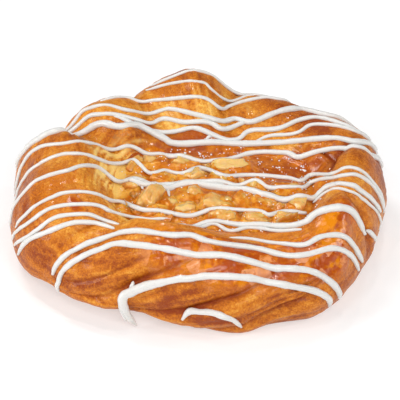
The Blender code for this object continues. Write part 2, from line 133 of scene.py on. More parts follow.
@dataclass(frozen=True)
class Layer:
    """A layer of relief: how strong it is, the size of its bumps in mm and how far it is shifted."""

    strength: float
    size: float
    shift: float = 0.0


class Relief:
    """Smooth random relief in space, the same on every run, for many points at once."""

    cells: int = 256
    gain: float = 1.6

    def __init__(self, seed: int) -> None:
        """Draws the relief's slopes from a seed."""
        rng = np.random.default_rng(seed)
        self.order = rng.permutation(self.cells)
        slopes = rng.normal(size=(self.cells, 3))
        self.slopes = slopes / np.linalg.norm(slopes, axis=1)[:, None]

    def at(self, points: np.ndarray, size: float) -> np.ndarray:
        """The relief at points, from about -1 to 1.

        Args:
            points: The points, one in each row.
            size: The size of a bump.

        Returns:
            The relief's value at each point.
        """
        placed = points / size
        cell = np.floor(placed).astype(int)
        inside = placed - cell
        fade = inside**3 * (inside * (inside * 6 - 15) + 10)
        total = np.zeros(len(points))
        for corner in np.ndindex(2, 2, 2):
            x, y, z = ((cell + corner) % self.cells).T
            column = self.order[(self.order[x] + y) % self.cells]
            slope = self.slopes[self.order[(column + z) % self.cells]]
            weight = np.prod(np.where(np.array(corner) == 1, fade, 1 - fade), axis=1)
            total += weight * ((inside - corner) * slope).sum(axis=1)
        return total * self.gain

    def layered(self, points: np.ndarray, layers: tuple[Layer, ...]) -> np.ndarray:
        """The sum of several layers of relief at points."""
        return sum(layer.strength * self.at(points + layer.shift, layer.size) for layer in layers)


@dataclass(frozen=True)
class Section:
    """The ring's section at a bearing: crest, height and bulge, and how far the edge of the base lifts."""

    bearing: float
    crest: float
    height: float
    bulge: float
    lift: float = 0.0


@dataclass(frozen=True)
class RingForm:
    """The plain form of the danish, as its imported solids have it."""

    middle: Pair = (0.13, 1.87)
    well_centre: Pair = (4.5, -6.0)
    well_half_length: float = 30.5
    well_half_width: float = 21.0
    well_fullness: float = 3.0
    well_floor: Way = ((0.0, 9.0), (0.35, 8.7), (0.62, 7.6), (0.84, 5.2), (0.95, 2.6), (1.0, 0.0))
    filling_height: float = 24.6
    filling_slope: float = -0.035
    filling_dome: float = 0.5
    bulge_height: float = 10.5
    base_inset: float = 7.0
    lift_power: int = 4
    mm_per_degree: float = 0.75
    mm_per_place: float = 20.0
    sections: tuple[Section, ...] = rows_of(
        Section, (0, 47.0, 31.0, 57.5), (13, 48.0, 31.5, 61.2), (25, 48.0, 31.0, 62.0), (38, 45.5, 30.2, 60.2),
        (52, 42.0, 30.6, 54.6), (65, 41.0, 31.5, 53.5), (77, 40.5, 33.0, 53.3), (85, 41.5, 36.6, 54.0),
        (94, 42.0, 38.7, 54.8), (104, 41.5, 36.4, 54.8), (113, 40.5, 34.3, 54.0), (121, 39.5, 34.0, 54.5),
        (132, 40.0, 35.0, 55.5), (143, 40.0, 34.6, 56.0), (152, 41.0, 28.6, 57.6), (162, 41.5, 34.6, 61.6),
        (176, 38.5, 34.0, 58.2), (191, 39.0, 34.0, 59.5, 1.0), (204, 40.0, 32.5, 59.0, 3.0),
        (216, 40.0, 30.5, 56.2, 4.5), (227, 37.0, 28.5, 54.6, 6.0), (237, 34.5, 30.5, 52.0, 6.0),
        (248, 33.0, 30.5, 49.0, 5.0), (260, 32.5, 29.5, 48.5, 2.5), (272, 33.0, 28.0, 49.5, 0.5),
        (284, 35.0, 26.0, 51.5), (297, 38.0, 24.5, 52.0), (310, 42.0, 24.5, 54.6), (322, 45.0, 26.5, 55.2),
        (334, 46.0, 30.0, 54.6, 0.5), (347, 46.0, 31.0, 55.5),
    )

    def ring_at(self, bearings: np.ndarray) -> np.ndarray:
        """The crest, height, bulge and lift at bearings, on a smooth closed curve through the sections.

        Args:
            bearings: The bearings, in degrees.

        Returns:
            Four values for each bearing.
        """
        table = np.array([(s.bearing, s.crest, s.height, s.bulge, s.lift) for s in self.sections])
        turn = np.asarray(bearings, float) % 360.0
        after = np.searchsorted(table[:, 0], turn, side="right")
        a, b, c, d = (table[(after + k) % len(table)] for k in (-2, -1, 0, 1))
        span = (c[:, 0] - b[:, 0]) % 360.0
        share = ((turn - b[:, 0]) / span)[:, None]
        return np.maximum(spline(a[:, 1:], b[:, 1:], c[:, 1:], d[:, 1:], share), 0.0)

    def well_radius(self, bearings: np.ndarray) -> np.ndarray:
        """How far the well's edge is from the well's centre at bearings."""
        turn = np.radians(bearings)
        along = np.abs(np.cos(turn)) / self.well_half_length
        across = np.abs(np.sin(turn)) / self.well_half_width
        return (along**self.well_fullness + across**self.well_fullness) ** (-1.0 / self.well_fullness)

    def well_share(self, x: np.ndarray, y: np.ndarray) -> np.ndarray:
        """How far out from the well's middle points in plan are, as a share of the way to its edge."""
        along, across = x - self.well_centre[0], y - self.well_centre[1]
        return np.hypot(along, across) / self.well_radius(np.degrees(np.arctan2(across, along)))

    def filling_level(self, x: float | np.ndarray) -> float | np.ndarray:
        """The height of the well's edge at x."""
        return self.filling_height + self.filling_slope * (x - self.well_centre[0])

    def well_drop(self, share: float | np.ndarray) -> float | np.ndarray:
        """How far the well's floor lies under the filling's level, at a share of the way to its edge."""
        return np.interp(share, *zip(*self.well_floor))

    def surface(self, bearings: np.ndarray, places: np.ndarray) -> np.ndarray:
        """Points of the dough's plain form.

        Args:
            bearings: The bearings, in degrees.
            places: The places down the section.

        Returns:
            The points, in a row of bearings for each place.
        """
        turn = np.radians(bearings)
        out = np.stack((np.cos(turn), np.sin(turn)), axis=1)
        crest, height, bulge, lift = self.ring_at(bearings).T
        well = self.well_radius(bearings)[:, None] * out
        edge = np.array(self.well_centre) + well
        low = self.filling_level(edge[:, 0])
        rows = []
        for place in places:
            stretch = min(4, max(0, math.ceil(place) - 1))
            t = place - stretch
            quarter = t * math.pi / 2
            if stretch == 0:
                plan = np.array(self.well_centre) + t * well
                z = self.filling_level(plan[:, 0]) - self.well_drop(t)
            elif stretch == 1:
                plan = edge + t * (crest[:, None] * out - edge)
                z = low + (height - low) * math.sin(quarter)
            elif stretch == 2:
                plan = (crest + (bulge - crest) * math.sin(quarter))[:, None] * out
                z = self.bulge_height + (height - self.bulge_height) * math.cos(quarter)
            elif stretch == 3:
                plan = (bulge - self.base_inset * (1 - math.cos(quarter)))[:, None] * out
                z = self.bulge_height - (self.bulge_height - lift) * math.sin(quarter)
            else:
                plan = ((bulge - self.base_inset) * (1 - t))[:, None] * out
                z = lift * (1 - t) ** self.lift_power
            rows.append(np.column_stack((plan, z)))
        return np.array(rows)

    def line(self, way: Way, step: float) -> np.ndarray:
        """Points along a way of bearings and places, on the plain form.

        Args:
            way: The way's bearings and places.
            step: About how far apart the points are.

        Returns:
            The points.
        """
        scaled = tuple((bearing * self.mm_per_degree, place * self.mm_per_place) for bearing, place in way)
        return np.array([self.surface(np.array([around / self.mm_per_degree]), [down / self.mm_per_place])[0, 0]
                         for around, down in smooth_way(scaled, step)])


class Lip(Enum):
    """The side of a fold, looking along it from outside, on which the dough rolls over it."""

    NONE = 0
    LEFT = 1
    RIGHT = -1


@dataclass(frozen=True)
class Fold:
    """A crease where two lobes of dough meet.

    Its way is in bearings and places. The roll is how high the dough beside it rolls up, on the side of its lip, and
    the spread how wide that is. It fades out at its ends. It reaches as far as some widths or spreads, and the roll
    rises from the crease within the root, a share of the spread.
    """

    way: Way
    depth: float
    width: float
    lip: Lip = Lip.NONE
    roll: float = 0.0
    spread: float = 3.0
    shade: float = 1.0
    fade: float = 0.12
    step: float = 0.5
    far: float = 4.0
    root: float = 0.4

    def sunk(self, points: np.ndarray, normals: np.ndarray, form: RingForm) -> tuple[np.ndarray, ...]:
        """How far the fold sinks and raises points of the dough.

        Args:
            points: The points of the plain form.
            normals: Their normals.
            form: The plain form.

        Returns:
            How far each point is sunk by the crease, and how far it is raised by the roll.
        """
        line = form.line(self.way, self.step)
        reach = self.far * max(self.width, self.spread)
        near = np.all((points > line.min(0) - reach) & (points < line.max(0) + reach), axis=1)
        down, up = np.zeros(len(points)), np.zeros(len(points))
        away = points[near][:, None, :] - line[None, :, :]
        apart = np.linalg.norm(away, axis=2)
        nearest = apart.argmin(axis=1)
        pick = np.arange(len(nearest))
        tangent = np.gradient(line, axis=0)[nearest]
        left = np.cross(normals[near], tangent)
        left /= np.maximum(np.linalg.norm(left, axis=1), TINY)[:, None]
        side = (away[pick, nearest] * left).sum(axis=1)
        fade = np.sin(np.pi * (self.fade + (1 - 2 * self.fade) * nearest / (len(line) - 1)))
        distance = apart[pick, nearest]
        down[near] = self.depth * fade * np.exp(-distance / self.width)
        if self.lip is not Lip.NONE:
            over = distance * np.sign(side * self.lip.value)
            up[near] = self.roll * fade * np.exp(-(((over - self.spread) / self.spread) ** 2)) * (over > 0)
            up[near] *= 1 - np.exp(-distance / (self.root * self.spread))
        return down, up


@dataclass(frozen=True)
class Patch:
    """A soft-edged patch on the dough: its middle, its reach both ways, and its strength."""

    bearing: float
    turn: float
    place: float
    reach: float
    amount: float = 1.0

    def share(self, bearings: np.ndarray, places: np.ndarray) -> np.ndarray:
        """How strong the patch is at bearings and places."""
        around = ((bearings - self.bearing + 180.0) % 360.0 - 180.0) / self.turn
        down = (places - self.place) / self.reach
        return self.amount * np.exp(-((around**2 + down**2) ** 1.5))


def patched(patches: tuple[Patch, ...], bearings: np.ndarray, places: np.ndarray) -> np.ndarray:
    """The strongest of several patches at bearings and places, with the strongest of those that take away."""
    shares = np.array([patch.share(bearings, places) for patch in patches])
    return shares.max(axis=0).clip(min=0) + shares.min(axis=0).clip(max=0)


class Graph:
    """A node tree, and the one way in which nodes are added to it."""

    def __init__(self, tree: NodeTree) -> None:
        """Takes the tree that the nodes go into."""
        self.tree = tree

    def node(self, kind: str, settings: dict[str, object] | None = None,
             sockets: dict[str | int, object] | None = None) -> Node:
        """Adds a node.

        Args:
            kind: The node's type.
            settings: Its settings, set first. A ramp's stops are given as "stops".
            sockets: What goes into its sockets, by name or number: a value, a socket or a Value.

        Returns:
            The node.
        """
        made = self.tree.nodes.new(kind)
        for name, value in (settings or {}).items():
            if name == "stops":
                stops = made.color_ramp.elements
                while len(stops) < len(value):
                    stops.new(0.5)
                for stop, (position, colour) in zip(stops, value):
                    stop.position = position
                    stop.color = colour
            else:
                setattr(made, name, value)
        for key, value in (sockets or {}).items():
            self.feed(made.inputs[key], value)
        return made

    def number(self, kind: str, settings: dict[str, object], sockets: dict[str | int, object],
               output: str | int = 0) -> "Value":
        """A node's output as a Value."""
        return Value(self, self.node(kind, settings, sockets).outputs[output])

    def feed(self, socket: NodeSocket, value: object) -> None:
        """Links a socket to what is given, or sets its value."""
        value = value.socket if isinstance(value, Value) else value
        if isinstance(value, NodeSocket):
            self.tree.links.new(value, socket)
        else:
            socket.default_value = value


def operators(operation: str) -> tuple[Callable, Callable]:
    """An operator of the class Value and its reflected form.

    Args:
        operation: The operation of the Math node that they add.

    Returns:
        The operator and its reflected form.
    """
    def plain(self: "Value", other: object) -> "Value":
        """The sum with the Value first."""
        return self.maths(operation, self, other)

    def reflected(self: "Value", other: object) -> "Value":
        """The sum with the Value second."""
        return self.maths(operation, other, self)

    return plain, reflected


class Value:
    """A number that changes over a surface. Each sum on it adds a Math node."""

    __add__, __radd__ = operators("ADD")
    __sub__, __rsub__ = operators("SUBTRACT")
    __mul__, __rmul__ = operators("MULTIPLY")
    __truediv__, __rtruediv__ = operators("DIVIDE")

    def __init__(self, graph: Graph, socket: NodeSocket) -> None:
        """Wraps a socket of a graph."""
        self.graph = graph
        self.socket = socket

    def maths(self, operation: str, *numbers: object) -> "Value":
        """A Math node on numbers, Values among them."""
        return self.graph.number("ShaderNodeMath", {"operation": operation}, dict(enumerate(numbers)))

    def larger(self, other: object) -> "Value":
        """The larger of two numbers."""
        return self.maths("MAXIMUM", self, other)

    def eased(self, low: float, high: float) -> "Value":
        """A smooth step from 0 at low to 1 at high."""
        return self.graph.number("ShaderNodeMapRange", {"interpolation_type": "SMOOTHSTEP"},
                                 {"Value": self, "From Min": low, "From Max": high})


class Finish(Graph):
    """A material under construction, with the textures that the danish's finishes share."""

    def __init__(self, name: str) -> None:
        """Makes an empty material."""
        self.made = bpy.data.materials.new(name)
        self.made.use_nodes = True
        super().__init__(self.made.node_tree)
        self.tree.nodes.clear()
        self.place = self.node("ShaderNodeTexCoord").outputs["Object"]

    def noise(self, scale: float, detail: float = 3.0, rough: float = 0.55, bend: float = 0.0) -> Value:
        """A noise texture's value.

        Args:
            scale: How many bumps there are in a metre.
            detail: How many finer layers it has.
            rough: How strong the finer layers are.
            bend: How far it is distorted.

        Returns:
            The value, about 0.5 on average.
        """
        return self.number("ShaderNodeTexNoise", {}, {"Vector": self.place, "Scale": scale, "Detail": detail,
                                                      "Roughness": rough, "Distortion": bend})

    def cells(self, scale: float, output: str) -> Value:
        """A texture of cells: the "Distance" to the nearest one's middle, or a number for each as its "Color"."""
        return self.number("ShaderNodeTexVoronoi", {}, {"Vector": self.place, "Scale": scale}, output)

    def painted(self, name: str) -> Value:
        """The number that the mesh holds under a name."""
        return self.number("ShaderNodeAttribute", {"attribute_name": name}, {}, "Fac")

    def ramp(self, value: Value, stops: tuple[tuple[float, Colour], ...]) -> NodeSocket:
        """A colour from a value, by a ramp."""
        return self.node("ShaderNodeValToRGB", {"stops": stops}, {0: value}).outputs["Color"]

    def mixed(self, share: object, first: object, second: object) -> NodeSocket:
        """Two colours mixed, with a share of the second."""
        return self.node("ShaderNodeMix", {"data_type": "RGBA"}, {0: share, 6: first, 7: second}).outputs[2]

    def bumped(self, height: Value, depth: float) -> NodeSocket:
        """A bumped normal.

        Args:
            height: The height, from 0 to 1.
            depth: How many mm it stands for.

        Returns:
            The normal.
        """
        return self.node("ShaderNodeBump", {}, {"Height": height, "Distance": depth * MM}).outputs["Normal"]

    def closed(self, sockets: dict[str, object]) -> Material:
        """Ends the material in a Principled shader.

        Args:
            sockets: What goes into the shader's sockets.

        Returns:
            The material.
        """
        shader = self.node("ShaderNodeBsdfPrincipled", {}, sockets)
        self.node("ShaderNodeOutputMaterial", {}, {"Surface": shader.outputs[0]})
        return self.made


@dataclass(frozen=True)
class AmberJelly:
    """Clear amber jelly with paler swirls, wet all over."""

    deep: Colour = ink(160, 70, 2)
    amber: Colour = ink(202, 112, 12)
    light: Colour = ink(234, 170, 62)
    dough: Colour = ink(242, 196, 108)

    def coloured(self, kit: Finish, thin: object) -> NodeSocket:
        """The jelly's colour, lighter where it is thin."""
        swirl, fleck = kit.noise(150, 4, 0.6, 0.6), kit.noise(520, 3, 0.6)
        tone = thin + (swirl - 0.5) * 1.5 + (fleck - 0.5) * 1.4 + 0.3
        return kit.ramp(tone, ((0.0, self.deep), (0.45, self.amber), (1.0, self.light)))

    def material(self) -> Material:
        """Mixes the jelly's material.

        Returns:
            The material.
        """
        kit = Finish("amber_jelly")
        seen = (kit.painted("seen") * 1.1 + (kit.noise(420, 3, 0.6) - 0.5) * 1.2).eased(0.3, 0.9)
        height = kit.noise(420, 3, 0.5) * 0.5 + kit.noise(1100, 2, 0.6) * 0.5
        return kit.closed({
            "Base Color": kit.mixed(seen * 0.85, self.coloured(kit, kit.painted("thin") + 0.08), self.dough),
            "Roughness": 0.12,
            "Coat Weight": 0.3,
            "Coat Roughness": 0.05,
            "Specular IOR Level": 0.2,
            "Subsurface Weight": 0.15,
            "Subsurface Radius": (1.0, 0.55, 0.15),
            "Subsurface Scale": 2.5 * MM,
            "Normal": kit.bumped(height, 0.5),
        })


@dataclass(frozen=True)
class BakedCrust:
    """Egg-washed dough baked golden, browner on top and outside, pale where it stretched, wet where glazed, with
    painted shade in its creases and painted reflections on the glaze.
    """

    cream: Colour = ink(250, 212, 128)
    pale: Colour = ink(248, 200, 98)
    golden: Colour = ink(226, 152, 52)
    brown: Colour = ink(202, 114, 20)
    dark: Colour = ink(146, 60, 4)
    # Painted shade: the colour that the creases darken towards.
    crease_shade: Colour = ink(130, 42, 2)
    glazed: Colour = ink(162, 56, 0)
    glazed_thin: Colour = ink(226, 134, 4)
    under: Colour = ink(166, 96, 44)
    flake: Colour = ink(234, 164, 118)
    jelly: AmberJelly = AmberJelly()
    smear_thin: float = -0.14
    egg_coat: float = 0.1
    glaze_coat: float = 0.52

    def material(self) -> Material:
        """Mixes the crust's material.

        Returns:
            The material.
        """
        kit = Finish("baked_crust")
        blotch, mottle, grain = kit.noise(95, 3), kit.noise(620, 4, 0.66), kit.noise(1900, 3, 0.65)
        blotched, mottled, grained = blotch - 0.5, mottle - 0.5, grain - 0.5
        bake, pale, streak, under = (kit.painted(name) for name in ("bake", "pale", "streak", "under"))

        fibre = streak * (0.18 + kit.painted("fibre") * 0.36 + pale * 0.25)
        tone = bake + blotched * 0.9 + mottled * (0.85 + pale * 1.1) + grained * 1.1 - fibre
        colour = kit.ramp(tone, ((0.0, self.pale), (0.26, self.golden), (0.58, self.brown), (1.0, self.dark)))
        stretched = (pale * (0.42 + streak * 1.5) + mottled * 1.0 + grained * 0.6).eased(0.1, 1.1)
        colour = kit.mixed(stretched * 0.85, colour, self.cream)

        glaze = (kit.painted("wet") + blotched * 0.6 + mottled * 0.3).eased(0.25, 0.8)
        pool = (blotch + mottle * 0.6 - 0.3 - streak * 0.2).eased(0.4, 0.66)
        colour = kit.mixed(glaze * 0.9, colour, kit.mixed(pool, self.glazed, self.glazed_thin))
        # Painted reflection: pinkish patches on the glaze that stand in for a softbox's reflection broken up by its
        # wet skin.
        flake = (kit.cells(270, "Color") + mottled * 0.5 + blotched * 0.4).eased(0.6, 0.7)
        flake = flake * kit.painted("flake").eased(0.0, 1.0)
        colour = kit.mixed(glaze * flake * 0.6, colour, self.flake)
        smear = (kit.painted("smear") + blotched * 0.5 + mottled * 0.5).eased(0.35, 0.7)
        colour = kit.mixed(smear * 0.85, colour, self.jelly.coloured(kit, self.smear_thin))
        # Painted shade in the creases, where the folds sink the dough.
        crease_shade = (kit.painted("hollow") + mottled * 0.3).eased(0.25, 1.0)
        colour = kit.mixed(crease_shade * 0.8, colour, self.crease_shade)
        colour = kit.mixed(under * 0.8, colour, self.under)

        wet = glaze.larger(smear)
        bump = mottle * 0.6 + grain * 0.8
        facet = kit.cells(280, "Distance") * 1.7 + kit.noise(1000, 2, 0.6) * smear * 0.9
        height = bump * (1 - wet * 0.8) + facet * wet
        dry_roughness = 0.42 + mottled * 0.3 + under * 0.2
        wet_coat = wet * (self.glaze_coat - self.egg_coat) * (1 - smear * 0.6)
        return kit.closed({
            "Base Color": colour,
            "Roughness": dry_roughness * (1 - wet) + wet * (0.16 + smear * 0.16),
            "Coat Weight": wet_coat + (1 - under) * self.egg_coat,
            "Coat Roughness": 0.09,
            "Specular IOR Level": 0.2,
            "Normal": kit.bumped(height, 0.45),
        })


@dataclass(frozen=True)
class GlintFroth:
    """Small bubbles of air under the jelly's skin, painted pale: their colour is mostly a painted highlight, standing
    in for glints on the wet jelly.
    """

    # Painted highlight: pale colours that stand in for glints.
    pale: Colour = ink(255, 238, 200)
    warm: Colour = ink(240, 180, 96)

    def material(self) -> Material:
        """Mixes the froth's material.

        Returns:
            The material.
        """
        kit = Finish("froth")
        return kit.closed({
            "Base Color": kit.mixed(kit.noise(700, 2).eased(0.35, 0.65), self.pale, self.warm),
            "Roughness": 0.45,
            "Coat Weight": 0.0,
            "Specular IOR Level": 0.1,
            "Normal": kit.bumped(kit.noise(1600, 2), 0.05),
        })


@dataclass(frozen=True)
class CookedApple:
    """Soft cooked apple, pale yellow with amber from the jelly in its lower parts and fine fibres."""

    flesh: Colour = ink(228, 186, 114)
    warm: Colour = ink(218, 146, 50)
    amber: Colour = ink(200, 110, 16)

    def material(self) -> Material:
        """Mixes the apple's material.

        Returns:
            The material.
        """
        kit = Finish("cooked_apple")
        cloud, speck = kit.noise(260, 3, 0.6), kit.noise(800, 3, 0.6)
        fibre = kit.noise(900, 3, 0.6, 1.2)
        clouded, specked = cloud - 0.5, speck - 0.5
        tone = kit.painted("warmth") + clouded * 1.3 + specked * 0.8 + (fibre - 0.5) * 0.4
        colour = kit.ramp(tone, ((0.0, self.flesh), (0.7, self.warm), (1.0, self.amber)))
        soaked = (kit.painted("soak") + clouded * 0.7 + specked * 0.6).eased(0.15, 0.9)
        return kit.closed({
            "Base Color": kit.mixed(soaked * 0.85, colour, self.amber),
            "Roughness": 0.18,
            "Coat Weight": 0.8,
            "Coat Roughness": 0.04,
            "Specular IOR Level": 0.2,
            "Subsurface Weight": 0.6,
            "Subsurface Radius": (1.0, 0.6, 0.2),
            "Subsurface Scale": 3.0 * MM,
            "Normal": kit.bumped(fibre * 0.4 + cloud * 0.5 + speck * 0.5, 0.4),
        })


@dataclass(frozen=True)
class WhiteIcing:
    """Set sugar icing: white, faintly warm where it is thin, with a soft shine."""

    white: Colour = ink(215, 213, 209)
    thin: Colour = ink(232, 214, 194)

    def material(self) -> Material:
        """Mixes the icing's material.

        Returns:
            The material.
        """
        kit = Finish("white_icing")
        cloud, grain = kit.noise(260, 3, 0.5), kit.noise(1300, 2, 0.5)
        thin = (kit.painted("foot") + (cloud - 0.5) * 0.6).eased(0.55, 1.0)
        return kit.closed({
            "Base Color": kit.mixed(thin * 0.6, self.white, self.thin),
            "Roughness": 0.3 + (grain - 0.5) * 0.25,
            "Subsurface Weight": 0.15,
            "Subsurface Radius": (1.0, 0.8, 0.6),
            "Subsurface Scale": 1.0 * MM,
            "Normal": kit.bumped(cloud * 0.7 + grain * 0.3, 0.12),
        })


def mesh_of(name: str, points: np.ndarray, faces: list[tuple[int, ...]], painted: dict[str, np.ndarray],
            middle: Pair, edges: list[tuple[int, int]] | tuple[()] = ()) -> Mesh:
    """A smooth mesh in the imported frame.

    Args:
        name: The mesh's name.
        points: Its points, in mm from the middle of the ring.
        faces: Its faces, as numbers of points.
        painted: What each point carries, by name: a number or a vector.
        middle: The middle of the danish, from the middle of the ring.
        edges: Its edges, where it has no faces.

    Returns:
        The mesh, in metres.
    """
    mesh = bpy.data.meshes.new(name)
    placed = (points - np.array((*middle, 0.0))) * MM
    mesh.from_pydata(placed.tolist(), edges, faces)
    for title, values in painted.items():
        vector = values.ndim == 2
        layer = mesh.attributes.new(title, "FLOAT_VECTOR" if vector else "FLOAT", "POINT")
        layer.data.foreach_set("vector" if vector else "value", np.ascontiguousarray(values, np.float32).ravel())
    mesh.polygons.foreach_set("use_smooth", [True] * len(mesh.polygons))
    mesh.update()
    return mesh


def ball_faces(count: int, rings: int) -> list[tuple[int, ...]]:
    """The faces of a ball whose points are a top pole, rings of count points, and a bottom pole.

    Args:
        count: The points in a ring.
        rings: The number of rings between the poles.

    Returns:
        The faces, which point outwards where the rings run outwards from the top.
    """
    last = 1 + rings * count
    after = [(k + 1) % count for k in range(count)]
    faces = [(0, 1 + k, 1 + after[k]) for k in range(count)]
    for ring in range(rings - 1):
        a, b = 1 + ring * count, 1 + (ring + 1) * count
        faces += [(a + k, b + k, b + after[k], a + after[k]) for k in range(count)]
    low = 1 + (rings - 1) * count
    return faces + [(low + k, last, low + after[k]) for k in range(count)]


def as_ball(rows: np.ndarray) -> np.ndarray:
    """Rows of values for the rings of a ball, the poles' rows among them, as one list with a value for each pole."""
    flat = rows[1:-1].reshape((-1,) + rows.shape[2:])
    return np.concatenate((rows[:1, 0], flat, rows[-1:, 0]))


def piece_of(name: str, mesh: Mesh, material: Material, slot: str, *nodes: str) -> Object:
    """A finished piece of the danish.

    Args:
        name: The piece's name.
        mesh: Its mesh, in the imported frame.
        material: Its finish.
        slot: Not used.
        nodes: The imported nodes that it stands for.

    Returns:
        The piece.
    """
    piece = bpy.data.objects.new(name, mesh)
    bpy.context.scene.collection.objects.link(piece)
    mesh.materials.clear()
    mesh.materials.append(material)
    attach(piece, "root")
    if nodes:
        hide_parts(*nodes)
    log.info("%s: %d faces", name, len(mesh.polygons))
    return piece


class Ground:
    """The surfaces that something is laid on. It takes and gives places in mm from the middle of the ring."""

    def __init__(self, form: RingForm, *meshes: Mesh) -> None:
        """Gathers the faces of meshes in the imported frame."""
        points, faces = [], []
        for mesh in meshes:
            base = len(points)
            points += [point.co.copy() for point in mesh.vertices]
            faces += [[base + index for index in face.vertices] for face in mesh.polygons]
        self.tree = BVHTree.FromPolygons(points, faces)
        self.middle = np.array((*form.middle, 0.0))

    def nearest(self, point: np.ndarray) -> Footing:
        """The place nearest to a point, and the normal there."""
        return self.found(self.tree.find_nearest(Vector(point - self.middle) * MM))

    def below(self, point: np.ndarray) -> Footing:
        """The place straight below a point, and the normal there."""
        return self.found(self.tree.ray_cast(Vector(point - self.middle) * MM, Vector((0, 0, -1))))

    def found(self, hit: tuple) -> Footing:
        """The place and the normal of what a search found."""
        return np.array(hit[0]) / MM + self.middle, np.array(hit[1])


